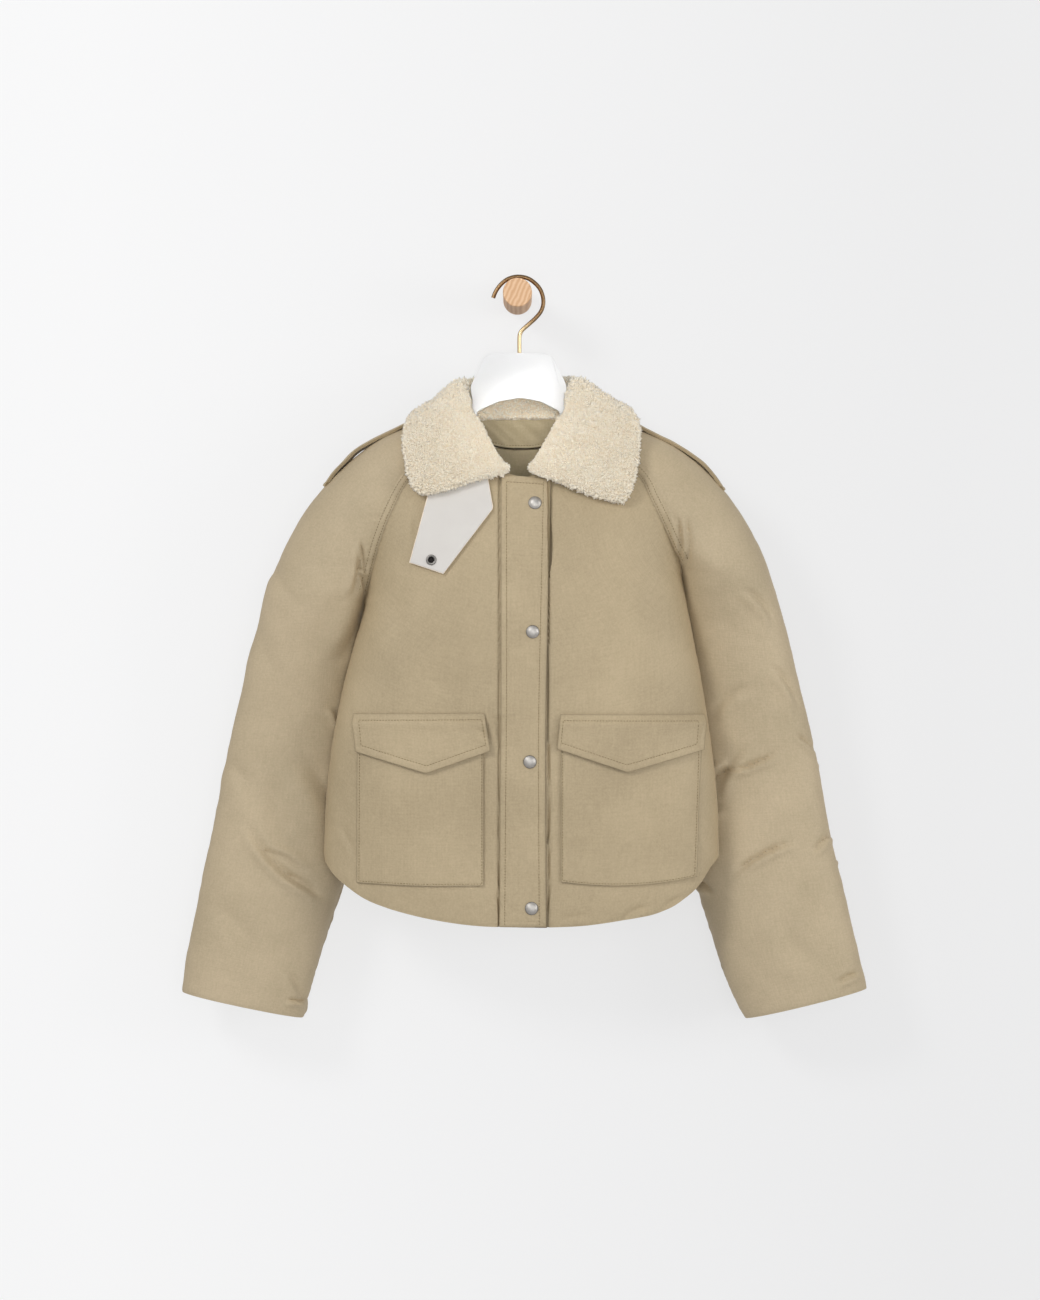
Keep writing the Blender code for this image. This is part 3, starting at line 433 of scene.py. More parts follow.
# Exponents that round the section: the front is fuller than the back.
FRONT_SQUARE, FRONT_ROUND = 3.4, 0.52
BACK_SQUARE, BACK_ROUND = 2.4, 0.75


def body_row(z):
    """Left, right, side_y, front and back of the body at a height, read from one row per millimetre."""
    at = min(max(z - LOWEST_ROW, 0.0), len(BODY_ROWS) - 1.001)
    return BODY_ROWS[int(at)].lerp(BODY_ROWS[int(at) + 1], at - int(at))


def turn_of(x, z):
    """Angle round the body of a point seen at x and z."""
    left, right = body_row(z)[:2]
    return math.asin(min(max((2 * x - left - right) / (right - left), -1.0), 1.0))


def body_point(turn, z, back=False, inset=0.0):
    """Point of the body's skin; inset moves it into the wall."""
    left, right, side_y, front, behind = body_row(z)
    u = min(abs(math.sin(turn)), 1.0)
    if back:
        out = (behind - inset) * (1 - u**BACK_SQUARE) ** BACK_ROUND
    else:
        out = -(front - inset) * (1 - u**FRONT_SQUARE) ** FRONT_ROUND
    return Vector(((left + right) / 2 + ((right - left) / 2 - inset) * math.sin(turn), side_y + out, z))


print("body", len(BODY_ROWS), "rows")

# %% smooth lines
LINE_PARTS = 400


def steps(count):
    """Even shares from 0 to 1, both ends included."""
    return [k / count for k in range(count + 1)]


def along(points, t):
    """Point at share t of a smooth line through the points, counted by point number."""
    last = len(points) - 1
    at = min(max(t, 0.0), 1.0) * last
    i = min(int(at), last - 1)
    t = at - i
    a, b = Vector(points[i]), Vector(points[i + 1])
    before = Vector(points[i - 1]) if i else 2 * a - b
    after = Vector(points[i + 2]) if i + 2 <= last else 2 * b - a
    bend = 2 * before - 5 * a + 4 * b - after + t * (3 * (a - b) + after - before)
    return a + 0.5 * t * ((b - before) + t * bend)


def by_length(points, shares):
    """Points at the given shares of the length of a smooth line."""
    fine = [along(points, t) for t in steps(LINE_PARTS)]
    run = [0.0]
    for a, b in zip(fine, fine[1:]):
        run.append(run[-1] + (b - a).length)
    made, k = [], 0
    for share in shares:
        want = run[-1] * share
        while k < LINE_PARTS - 1 and run[k + 1] < want:
            k += 1
        made.append(fine[k].lerp(fine[k + 1], (want - run[k]) / max(run[k + 1] - run[k], 1e-9)))
    return made


def line_length(points):
    """Length of a line of straight parts."""
    return sum((Vector(a) - Vector(b)).length for a, b in zip(points, points[1:]))


print("a line is read in", LINE_PARTS, "parts")

# %% soft steps and noise
def smooth(x, low, high):
    """0 at low, 1 at high, and an easy curve between."""
    t = min(max((x - low) / (high - low), 0.0), 1.0)
    return t * t * (3 - 2 * t)


def tighter(s, by=0.55):
    """Spreads shares so that faces are smaller near both edges, where cloth bends most."""
    return s - by * math.sin(2 * math.pi * s) / (2 * math.pi)


def fade(away, reach):
    """1 at an edge, falling off over the reach."""
    return math.exp(-away / reach)


def hump(off, wide):
    """1 on a line, falling off as a bell on both sides."""
    return math.exp(-(off / wide) ** 2)


def uneven(*at):
    """Soft seeded noise about 0, which is what makes filling, puckers and crumple uneven."""
    return noise.noise(Vector(at))


print("noise at one place", round(uneven(0.3, 0.2, 1.0), 2))

# %% [markdown]
# ## Seams and edges
# The sleeves are raglan: each seam runs from the neck to the underarm, and the side seam
# goes on to the hem. These lines are shared by the panels on both sides of them.

# %% seam tables
# Columns: x and z at the seam, x and z at the outer edge, y at each, depth in front and behind.
SLEEVE_LEFT = (
    (-54.6, -163.7, -63.8, -141.9, -86.0, -86.0, 38.5, 30.0),
    (-89.0, -184.0, -100.6, -147.6, -86.5, -86.0, 47.0, 35.0),
    (-122.0, -215.0, -152.3, -165.4, -87.5, -85.5, 53.0, 40.0),
    (-142.5, -251.6, -198.3, -200.5, -89.5, -85.0, 55.0, 43.0),
    (-156.3, -286.8, -240.9, -248.8, -91.5, -84.0, 54.0, 44.0),
    (-166.0, -321.0, -271.9, -304.0, -93.0, -82.0, 52.0, 44.0),
    (-173.6, -351.0, -291.5, -353.4, -94.5, -80.0, 50.0, 44.0),
    (-181.0, -407.5, -307.6, -416.7, -68.0, -76.0, 46.0, 44.0),
    (-184.5, -465.0, -321.4, -471.9, -53.0, -72.0, 43.0, 43.0),
    (-184.5, -528.0, -334.1, -528.2, -46.0, -69.0, 42.0, 42.0),
    (-185.7, -591.5, -343.2, -577.7, -45.0, -67.0, 42.0, 41.0),
    (-194.9, -656.0, -353.6, -631.8, -46.0, -66.0, 44.0, 41.0),
    (-207.5, -697.0, -361.6, -669.7, -48.0, -66.0, 45.0, 41.0),
    (-222.5, -741.0, -369.7, -712.0, -52.0, -66.0, 45.0, 41.0),
    (-236.3, -790.0, -380.1, -760.0, -55.0, -66.0, 44.0, 40.0),
    (-246.6, -831.8, -385.8, -801.5, -57.0, -66.0, 41.0, 38.0),
)
SLEEVE_RIGHT = (
    (60.4, -163.7, 68.5, -141.9, -86.0, -86.0, 38.5, 30.0),
    (104.1, -186.0, 112.0, -149.5, -86.5, -86.0, 47.0, 35.0),
    (137.5, -212.0, 168.5, -170.6, -87.5, -85.5, 52.0, 40.0),
    (151.5, -237.5, 212.2, -202.8, -89.5, -85.0, 55.0, 43.0),
    (165.8, -266.6, 250.5, -247.0, -91.5, -84.0, 54.0, 44.0),
    (177.5, -292.0, 275.4, -290.2, -93.0, -82.0, 52.0, 44.0),
    (188.2, -315.5, 291.5, -331.6, -94.0, -80.0, 50.0, 44.0),
    (192.6, -373.0, 308.8, -386.8, -68.0, -76.0, 46.0, 44.0),
    (194.9, -436.2, 323.7, -448.9, -53.0, -72.0, 43.0, 43.0),
    (196.1, -505.2, 338.7, -511.0, -46.0, -69.0, 42.0, 42.0),
    (196.1, -574.2, 350.2, -568.5, -45.0, -67.0, 42.0, 41.0),
    (200.7, -637.5, 360.5, -623.7, -46.0, -66.0, 44.0, 41.0),
    (209.9, -691.5, 372.0, -672.0, -48.0, -66.0, 45.0, 41.0),
    (224.8, -738.7, 381.2, -712.2, -52.0, -66.0, 45.0, 41.0),
    (242.1, -790.5, 391.6, -756.0, -55.0, -66.0, 44.0, 40.0),
    (261.6, -833.0, 401.9, -797.5, -57.0, -66.0, 41.0, 38.0),
)
UNDERARM = 6
SIDE_END_Z = -648.0
HEM_LEFT = ((-212.0, -662.0), (-200.1, -673.6), (-174.5, -691.2), (-147.2, -702.0), (-112.5, -711.1),
            (-75.6, -718.0), (-38.5, -722.1), (CENTRE_X, -723.5))
HEM_RIGHT = ((222.0, -656.5), (205.3, -679.3), (182.6, -696.4), (159.8, -707.2), (133.7, -712.8),
             (81.4, -720.7), (33.6, -723.2), (CENTRE_X, -723.5))
FRONT_NECK_LEFT = ((-48.0, -183.0), (-30.0, -201.0), (CENTRE_X, -214.0))
FRONT_NECK_RIGHT = ((55.0, -183.0), (38.0, -201.0), (CENTRE_X, -214.0))
BACK_NECK = ((-40.0, -171.5), (-20.0, -176.5), (3.0, -178.0), (26.0, -176.5), (46.0, -171.5))


def seam_line(stations, side):
    """The side seam from the hem up and the raglan seam on to the neck, as x and z."""
    under = stations[UNDERARM][1]
    heights = [SIDE_END_Z + (under - SIDE_END_Z) * k / 6 for k in range(7)]
    raglan = [(row[0], row[1]) for row in reversed(stations[:UNDERARM])]
    return [(body_row(z)[0 if side < 0 else 1], z) for z in heights] + raglan


LEFT_SEAM = seam_line(SLEEVE_LEFT, -1)
RIGHT_SEAM = seam_line(SLEEVE_RIGHT, 1)
print("raglan seams", [round(v) for v in LEFT_SEAM[-1]], "to", [round(v) for v in LEFT_SEAM[0]], "mm")


# %% how far a point is from a seam
SEAM_STEP = 2
TOO_FAR = 70


def seam_tree(points):
    """Finds the nearest place on a seam, and how far along it that is in steps of 2 mm."""
    count = int(line_length(points) / SEAM_STEP)
    tree = KDTree(count + 1)
    for k, spot in enumerate(by_length(points, steps(count))):
        tree.insert((spot[0], 0.0, spot[1]), k)
    tree.balance()
    return tree


SEAM_TREES = [seam_tree(LEFT_SEAM), seam_tree(RIGHT_SEAM)]
HEM_TREE = seam_tree([LEFT_SEAM[0], *HEM_LEFT, *reversed(HEM_RIGHT[:-1]), RIGHT_SEAM[0]])


def own_side(x):
    """Half of the body that x is on, 0 or 1, with the tree of its seam and the underarm's height."""
    half = 0 if x < CENTRE_X else 1
    return half, SEAM_TREES[half], (SLEEVE_LEFT, SLEEVE_RIGHT)[half][UNDERARM][1]


def pulled_in(tree, x, z, seed, deep=1.3, fall=3.0, pucker=1.0):
    """Padded cloth dives into a seam and puckers beside it, unevenly."""
    _, step, away = tree.find((x, 0.0, z))
    if away > TOO_FAR:
        return 0.0
    beat = uneven(step / 5.2, seed, 0.0) + 0.6 * uneven(step / 2.3, seed + 9, away / 30)
    strong = 0.6 + 0.8 * uneven(step / 28.0, seed + 4, 0.0)
    return -deep * fade(away, fall) + pucker * strong * beat * fade(away, 15) * (1 - fade(away, 2.5))


print("three seams can be searched")

# %% [markdown]
# ## Creases
# The cloth is puffed, not quilted, so it has few creases, and each has its own place,
# length and depth. A crease is written as two ends, a bow, a depth and a width: a soft
# trough with a lower ridge beside it, fading at both ends. Simulation would put them
# wherever it likes, so the ones in the picture are listed one by one.

# %% crease tables
# x and z at each end, bow, depth, width; a negative width puts the ridge on the other side.
CREASES_FRONT = (
    (-118.0, -262.0, -116.0, -284.0, 1, 2.0, 3.1),
    (-30.0, -480.0, -22.0, -512.0, 2, 2.4, 3.6),
    (-46.0, -498.0, -26.0, -520.0, 2, 1.4, 3.6),
    (120.0, -713.0, 150.0, -700.0, 3, 2.4, 4.5),
    (166.0, -702.0, 186.0, -690.0, 2, 1.9, 3.6),
    (52.0, -714.0, 80.0, -709.0, 1, 1.4, 4.5),
    (-120.0, -440.0, -60.0, -470.0, 8, 1.2, 16.0),
    (150.0, -330.0, 176.0, -420.0, -8, 1.4, 14.0),
    (60.0, -300.0, 96.0, -420.0, 10, 0.9, 18.0),
    (-204.0, -560.0, -196.0, -650.0, 4, 0.7, 8.0),
    (-199.0, -614.0, -183.0, -650.0, 2, 1.3, 3.4),
    (212.0, -540.0, 206.0, -640.0, -4, 0.9, 8.0),
    (-150.0, -330.0, -130.0, -420.0, 6, 1.2, 14.0),
)
CREASES_SLEEVES = (
    (-178.6, -286.0, -173.0, -321.0, 1, 2.7, 1.8),
    (-184.0, -317.0, -171.0, -321.5, 1, 2.1, 1.8),
    (-179.5, -322.0, -175.0, -344.0, 1, 2.0, 1.8),
    (-304.0, -619.0, -230.0, -690.0, -7, 4.6, 4.8),
    (-286.0, -640.0, -244.0, -664.0, 3, 2.4, -3.6),
    (-262.0, -668.0, -230.0, -692.0, 4, 2.0, 4.4),
    (-212.0, -478.0, -203.0, -500.0, 2, 2.6, 3.2),
    (-240.0, -540.0, -206.0, -610.0, 6, 4.2, 14.0),
    (-276.0, -552.0, -262.0, -640.0, -8, 2.6, 16.0),
    (-282.0, -292.0, -250.0, -356.0, -6, 1.5, 9.0),
    (-296.0, -372.0, -276.0, -440.0, -5, 2.1, 12.0),
    (-178.0, -296.0, -190.0, -346.0, 3, 3.8, 4.0),
    (-170.0, -330.0, -204.0, -420.0, 7, 3.2, 9.0),
    (-330.0, -540.0, -300.0, -590.0, 5, 2.1, 10.0),
    (-352.0, -700.0, -300.0, -760.0, 8, 1.9, 14.0),
    (-262.0, -780.0, -244.0, -826.0, 3, 2.6, 4.8),
    (183.0, -262.0, 187.0, -300.0, 1, 3.5, 2.6),
    (192.0, -258.0, 195.0, -312.0, 2, 2.6, 3.2),
    (176.0, -252.0, 182.0, -290.0, 1, 1.6, 2.4),
    (222.0, -562.0, 246.0, -545.0, 3, 6.0, -3.6),
    (205.0, -675.0, 223.0, -688.0, 1, 4.0, 3.2),
    (-264.0, -811.0, -240.0, -817.0, 1, 3.0, 2.6),
    (228.0, -575.0, 258.0, -524.0, 4, 2.6, 5.6),
    (246.0, -547.0, 297.0, -526.0, -3, 4.2, 3.2),
    (321.0, -507.0, 342.0, -525.0, 1, 3.0, 2.8),
    (252.0, -664.0, 312.0, -630.0, 4, 4.2, 3.4),
    (340.0, -640.0, 362.0, -622.0, 2, 2.9, 3.2),
    (228.0, -478.0, 262.0, -452.0, 4, 2.6, 5.6),
    (262.0, -342.0, 292.0, -376.0, 4, 2.9, 4.8),
    (296.0, -432.0, 322.0, -474.0, 4, 2.9, 4.8),
    (214.0, -600.0, 236.0, -590.0, 2, 2.1, 4.8),
    (366.0, -792.0, 392.0, -780.0, 2, 2.9, 3.2),
    (300.0, -716.0, 350.0, -772.0, -7, 1.8, 13.0),
)


def crease_rise(creases, x, z):
    """Height of the creases over a point seen at x and z."""
    total = 0.0
    for x0, z0, x1, z1, bow, deep, wide in creases:
        run = math.hypot(x1 - x0, z1 - z0)
        reach = run * 0.25 + 5 * abs(wide) + abs(bow)
        if not min(x0, x1) - reach < x < max(x0, x1) + reach:
            continue
        if not min(z0, z1) - reach < z < max(z0, z1) + reach:
            continue
        at = ((x - x0) * (x1 - x0) + (z - z0) * (z1 - z0)) / run**2
        ends = smooth(at, -0.22, 0.3) * (1 - smooth(at, 0.62, 1.2))
        if ends <= 0:
            continue
        off = ((x - x0) * (z1 - z0) - (z - z0) * (x1 - x0)) / run + bow * 4 * at * (1 - at)
        off *= math.copysign(1.0, wide)
        wide = abs(wide)
        ridge = 0.75 * hump(off - 1.7 * wide, 1.25 * wide)
        valley = 0.55 * hump(off, wide) + 0.55 * fade(abs(off), 0.6 * wide)
        total += deep * ends * (ridge - valley)
    return total


def swell(x, z, seed, much=1.5):
    """Uneven filling: broad soft swells with a little fine crumple on top."""
    return (much * uneven(x / 88, z / 120, seed) + 0.35 * uneven(x / 24, z / 31, seed + 5)
            + 0.10 * uneven(x / 9, z / 10, seed + 8))


print(len(CREASES_FRONT) + len(CREASES_SLEEVES), "creases placed by hand")

# %% height of the finished fronts over the plain skin
PLACKET_LEFT, PLACKET_RIGHT = -19.5, 34.0
POCKET_SIDES = ((-181.0, -38.4), (49.3, 205.5))
POCKET_FOOT, POCKET_TOP = -674.0, -500.0
# How far from the raglan seam the tight cloth holds no swells.
SEAM_CALM = 16


def beside_placket(x):
    """How far x is outside the placket."""
    return max(PLACKET_LEFT - x, x - PLACKET_RIGHT, 0.0)


def front_rise(x, z):
    """How far the finished front stands over the body's plain skin."""
    half, seam, under = own_side(x)
    raglan = smooth(z, under - 8.0, under + 12.0)
    calm = 1 - raglan * fade(seam.find((x, 0.0, z))[2], SEAM_CALM)
    rise = 1.0 + calm * swell(x, z, 1.0) + calm**2 * crease_rise(CREASES_FRONT, x, z)
    rise += pulled_in(seam, x, z, 3.0 + 3 * half, 1.3 - 0.4 * raglan, 3.0 - raglan)
    rise += pulled_in(HEM_TREE, x, z, 12.0, 1.3, 3.0, 0.8)
    if raglan > 0.05:
        rise += 1.5 * (1 - calm) / raglan * hump(z - under + 6.0, 22.0)
    # The cloth dips a little under and round the pockets.
    left, right = POCKET_SIDES[half]
    beside = math.hypot(max(left - x, x - right, 0.0), max(POCKET_FOOT - z, z - POCKET_TOP, 0.0))
    rise -= 0.8 * fade(beside, 3.5)
    # Beside the placket it is gathered, most beside the second snap, and sewn into a groove.
    beside = beside_placket(x)
    beat = uneven(z / 17.0, 2.0 if x < 0 else 7.0, 0.5)
    gather = 0.0
    if x < 0:
        gather = uneven(z / 4.5, 5.0, 0.5) * (smooth(z, -545.0, -520.0) - smooth(z, -480.0, -455.0))
    rise += (0.8 * beat + 0.9 * gather) * fade(beside, 14.0) - 0.7 * fade(beside, 9.0)
    groove = 2.0 if x > CENTRE_X else 0.8 + 1.4 * smooth(z, -640.0, -700.0)
    rise -= 1.5 * (1 - smooth(beside, 1.2, 3.0))
    return rise - groove * (smooth(beside, 0.0, 0.7) - smooth(beside, 1.3, 2.6))


def front_frame(x, z):
    """Point of the finished front seen at x and z, and the way the cloth faces there."""
    here = body_point(turn_of(x, z), z)
    across = body_point(turn_of(x + 2, z), z) - body_point(turn_of(x - 2, z), z)
    up = body_point(turn_of(x, z + 2), z + 2) - body_point(turn_of(x, z - 2), z - 2)
    normal = across.cross(up).normalized()
    return here + normal * front_rise(x, z), normal


print("the left chest stands", round(front_rise(-100.0, -350.0), 1), "mm over the plain skin")

# %% [markdown]
# ## Cloth grids and finished pieces
# Every cloth piece starts as a flat grid of faces, which is the cut cloth, with a UV map
# in metres. A rule moves each corner of it to its place on the body. A Solidify modifier
# then gives the wall its thickness inwards, with the lining as a second material.

# %% grid, piece and wall helpers
def cloth_grid(cols, rows, wide, high, place):
    """A grid moved corner by corner to place(s, t), in millimetres, with its UV map in metres."""
    form = bmesh.new()
    bmesh.ops.create_grid(form, x_segments=cols, y_segments=rows, size=0.5)
    cloth = form.loops.layers.uv.new("cloth")
    for face in form.faces:
        for loop in face.loops:
            loop[cloth].uv = ((loop.vert.co.x + 0.5) * wide * MM, (loop.vert.co.y + 0.5) * high * MM)
    for vert in form.verts:
        vert.co = place(vert.co.x + 0.5, vert.co.y + 0.5) * MM
    form.normal_update()
    return form


def face_towards(form, rule):
    """Turns the whole sheet over if most of it faces away from rule(point)."""
    votes = sum(1 if face.normal.dot(rule(face.calc_center_median())) > 0 else -1 for face in form.faces)
    if votes < 0:
        bmesh.ops.reverse_faces(form, faces=form.faces)
        form.normal_update()


def shaded(form, values):
    """Writes the painted seam shade of each corner of the cloth, from 0 to 1, as its seam_shade attribute."""
    layer = form.verts.layers.float.new("seam_shade")
    for vert, value in zip(form.verts, values):
        vert[layer] = value


def finished(form, name, looks, replaces=(), crisp=60):
    """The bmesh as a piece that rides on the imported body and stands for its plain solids."""
    mesh = as_mesh(form, name)
    for look in looks:
        mesh.materials.append(look)
    mesh.shade_smooth()
    mesh.set_sharp_from_angle(angle=math.radians(crisp))
    made = placed(name, mesh)
    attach(made, "root")
    if replaces:
        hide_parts(*replaces)
    return made


def wall(piece, thick, lined=True, crisp=50):
    """Gives an open sheet its thickness inwards and closes its edges."""
    solid = piece.modifiers.new("wall", "SOLIDIFY")
    solid.thickness, solid.offset = thick * MM, -1.0
    solid.material_offset = 1 if lined else 0
    baked = settled(piece)
    baked.set_sharp_from_angle(angle=math.radians(crisp))
    piece.modifiers.clear()
    piece.data = baked
    return piece


def triangles(piece):
    """How many triangles a piece has."""
    return sum(len(p.vertices) - 2 for p in piece.data.polygons)


print("cloth walls are", WALL, "mm thick")

# %% [markdown]
# ## Fronts and back
# Each body panel is a patch between four edges: the side and raglan seam, the centre or
# the other seam, the hem and the neck. On the real jacket it is two layers of cloth with
# filling between, so its skin stands highest away from the seams.

# %% body panels
CREASES_BACK = (
    (-150.0, -300.0, -110.0, -420.0, 8, 1.6, 12.0),
    (140.0, -290.0, 122.0, -400.0, -7, 1.8, 10.0),
    (-60.0, -430.0, 10.0, -470.0, 6, 1.2, 14.0),
    (60.0, -520.0, 150.0, -560.0, -8, 1.5, 12.0),
    (-190.0, -520.0, -120.0, -590.0, 6, 1.6, 9.0),
    (-30.0, -250.0, 30.0, -262.0, 4, 1.0, 8.0),
    (160.0, -640.0, 200.0, -600.0, 4, 1.4, 7.0),
    (-176.0, -300.0, -170.0, -360.0, 2, 1.8, 5.0),
    (186.0, -290.0, 190.0, -350.0, -2, 1.6, 5.0),
    (-90.0, -640.0, -60.0, -700.0, 4, 1.0, 9.0),
)


def back_rise(x, z):
    """How far the finished back stands over the body's plain skin."""
    half, seam, _ = own_side(x)
    calm = 1 - smooth(z, -360.0, -340.0) * fade(seam.find((x, 0.0, z))[2], SEAM_CALM)
    rise = 1.0 + calm * swell(x, z, 21.0) + crease_rise(CREASES_BACK, x, z)
    rise += pulled_in(seam, x, z, 13.0 + 3 * half, 0.9, 2.5)
    return rise + pulled_in(HEM_TREE, x, z, 18.0, 1.3, 3.0, 0.8)


def front_shade(x, z):
    """Painted shade lines of the fronts: along the raglan seams and both sides of the placket."""
    half, seam, under = own_side(x)
    dark = smooth(z, under - 30.0, under) * fade(seam.find((x, 0.0, z))[2], 0.8)
    beside = beside_placket(x)
    line = 0.5 if half else 0.15 + 0.4 * smooth(z, -640.0, -700.0)
    return max(0.55 * dark, line * (1 - smooth(beside, 0.3, 1.5)) if beside > 0 else 0.0)


def panel(name, near, far, low, high, cols, rows, back=False, wide=230.0):
    """Padded panel between four edges, as x and z; near and far run upwards."""
    shares_s = [tighter(share) for share in steps(cols)]
    shares_t = [tighter(share) for share in steps(rows)]

    def on_body(points, shares):
        return [Vector((turn_of(p[0], p[1]), p[1])) for p in by_length(points, shares)]

    near, far = on_body(near, shares_t), on_body(far, shares_t)
    low, high = on_body(low, shares_s), on_body(high, shares_s)

    def place(s, t):
        j, i = round(s * cols), round(t * rows)
        s, t = shares_s[j], shares_t[i]
        flat = low[j].lerp(high[j], t) + near[i].lerp(far[i], s)
        flat = flat - low[0].lerp(low[-1], s).lerp(high[0].lerp(high[-1], s), t)
        return body_point(flat[0], flat[1], back) + Vector((0.0, SEAM / 2 if back else -SEAM / 2, 0.0))

    form = cloth_grid(cols, rows, wide, 540.0, place)
    face_towards(form, lambda spot: Vector((0, 1 if back else -1, 0)))
    spots = [(vert.co.x / MM, vert.co.z / MM) for vert in form.verts]
    for vert, (x, z) in zip(form.verts, spots):
        vert.co += vert.normal * (back_rise(x, z) if back else front_rise(x, z)) * MM
    if not back:
        shaded(form, [front_shade(x, z) for x, z in spots])
    node = name.removeprefix("padded_")
    piece = wall(finished(form, name, (SHELL, LINING), (node,)), WALL)
    print(name, triangles(piece), "triangles")
    return piece


def centre_edge(side):
    """The edge of a front under the placket, upwards."""
    x = CENTRE_X + side * SEAM / 2
    return [(x, -723.5), (x, -560.0), (x, -390.0), (x, -214.0)]


def to_centre(points, side):
    """A line that ends at that edge."""
    return [*points[:-1], (CENTRE_X + side * SEAM / 2, points[-1][1])]


front_left = panel("padded_front_left", LEFT_SEAM, centre_edge(-1),
                   to_centre([LEFT_SEAM[0], *HEM_LEFT], -1),
                   to_centre([LEFT_SEAM[-1], *FRONT_NECK_LEFT], -1), 96, 210)
front_right = panel("padded_front_right", RIGHT_SEAM, centre_edge(1),
                    to_centre([RIGHT_SEAM[0], *HEM_RIGHT], 1),
                    to_centre([RIGHT_SEAM[-1], *FRONT_NECK_RIGHT], 1), 96, 210)
back_panel = panel("padded_back", LEFT_SEAM, RIGHT_SEAM,
                   [LEFT_SEAM[0], *HEM_LEFT, *reversed(HEM_RIGHT[:-1]), RIGHT_SEAM[0]],
                   [LEFT_SEAM[-1], *BACK_NECK, RIGHT_SEAM[-1]], 94, 112, back=True, wide=450.0)

# The second half of the back's corners is its lining. It shows inside the neck, where it
# hangs in soft upright folds.
for vert in list(back_panel.data.vertices)[len(back_panel.data.vertices) // 2:]:
    x, z = vert.co.x / MM, vert.co.z / MM
    fold = uneven(x / 13.0 + z / 160.0, z / 90.0, 60.0) + 0.5 * uneven(x / 7.0, z / 50.0, 64.0)
    vert.co.y -= (2.0 + 3.4 * fold) * smooth(z, -340.0, -230.0) * MM

# %% [markdown]
# ## Sleeves
# A raglan sleeve reaches the neck. Over the shoulder it is an open arc between the front
# and back seam, and below the underarm it closes to a tube. One grid makes both: its
# side edges meet below the underarm, where their doubled corners are merged.

# %% sleeves
TUCKED = 0.5
SLEEVE_LONG = 770.0
# Share of a sleeve's faces across that lie in front.
IN_FRONT = 0.68
# The two rows of stitches beside the raglan seam press grooves about here.
GROOVES = (2.4, 8.0)


def open_share(stations):
    """Share of a sleeve's length at which the underarm closes it."""
    return UNDERARM / (len(stations) - 1)


def beside_seam(stations, share):
    """A sleeve's table at a share of its length, and the way from its seam into the sleeve."""
    side = -1 if stations[0][0] < 0 else 1
    before, after = along(stations, share - 0.01), along(stations, share + 0.01)
    run = Vector((after[0] - before[0], 0.0, after[1] - before[1])).normalized()
    return along(stations, share), Vector((run[2], 0.0, -run[0])) * (1 if run[2] * side > 0 else -1)


def sleeve_section(stations, share):
    """What one section of a sleeve needs: its ends on both faces, depths and first angles."""
    here, away = beside_seam(stations, share)
    in_x, in_z, out_x, out_z, in_y, out_y, deep_front, deep_back = here
    power = 1.3 - 0.6 * smooth(share - open_share(stations), -0.03, 0.06)
    start = Vector((in_x, in_y, in_z)) + away * SEAM
    end = Vector((out_x, out_y, out_z))
    faces = []
    for face, deep in ((-1, deep_front), (1, deep_back)):
        seam, depth = start, 0.0
        if share < open_share(stations) - 1e-6:
            seam = body_point(turn_of(in_x, in_z), in_z, face > 0) - away * TUCKED
            depth = abs(seam[1] - start[1])
            deep = max(deep, depth + 1.0)
            seam = Vector((seam[0], start[1], seam[2]))
        first = math.pi - math.asin(min((depth / deep) ** (1 / power), 1.0))
        faces.append((seam, first, face, deep, power))
    return faces, end


def sleeve_point(section, q):
    """Point of a section: q runs 0 to 1 over the front, and 1 to 2 back over the rear."""
    faces, end = section
    seam, first, face, deep, power = faces[0 if q <= 1 else 1]
    angle = first * (1 - (q if q <= 1 else 2 - q))
    over = (math.cos(angle) - math.cos(first)) / (1 - math.cos(first))
    here = seam.lerp(end, over)
    here[1] += face * deep * math.sin(angle) ** (power if angle > math.pi / 2 else 0.8)
    return here


def sleeve_rise(x, z, q, seam_away, cuff_away, over, closing, seed):
    """How far the finished sleeve stands over its plain skin; over is 1 above the underarm."""
    calm = 1 - over * fade(seam_away, SEAM_CALM)
    filled = swell(x, z + (0 if q <= 1 else 300), seed, 1.7) + 0.4 * uneven(x / 15, z / 12, seed + q)
    rise = 1.0 + calm * filled
    # The rear has the same creases, a little moved and weaker.
    if q <= 1:
        folds = crease_rise(CREASES_SLEEVES, x, z)
    else:
        folds = 0.8 * crease_rise(CREASES_SLEEVES, x - 14, z + 22)
    rise += 1.25 * folds * (1 - fade(seam_away, 2.5)) + 1.8 * closing * fade(seam_away, 9)
    # Above the underarm a flat band lies beside the seam, as wide as the stitched part.
    band = 8.0 * over
    flat = 0.5 * (1 - smooth(seam_away, band, band + 11.0))
    rise -= (1.2 - 0.7 * over) * fade(seam_away, 1.4) + flat - 0.5 * over
    rise -= over * (0.45 * hump(seam_away - GROOVES[0], 0.9) + 0.6 * hump(seam_away - GROOVES[1], 1.2))
    beat = uneven(z / 11.0, seed, q) + 0.6 * uneven(z / 4.5, seed + 3, q)
    rise += 1.1 * beat * fade(max(seam_away - band, 0.0), 13.0) * smooth(seam_away, 0.0, band + 4.0)
    # The cuff is gathered into its hem.
    ring = uneven(x / 7.0, seed, q) + 0.6 * uneven(x / 3.6, seed, q + 5)
    return rise - 1.2 * fade(cuff_away, 3.0) + 0.8 * ring * fade(cuff_away, 12.0) * smooth(cuff_away, 0, 4)


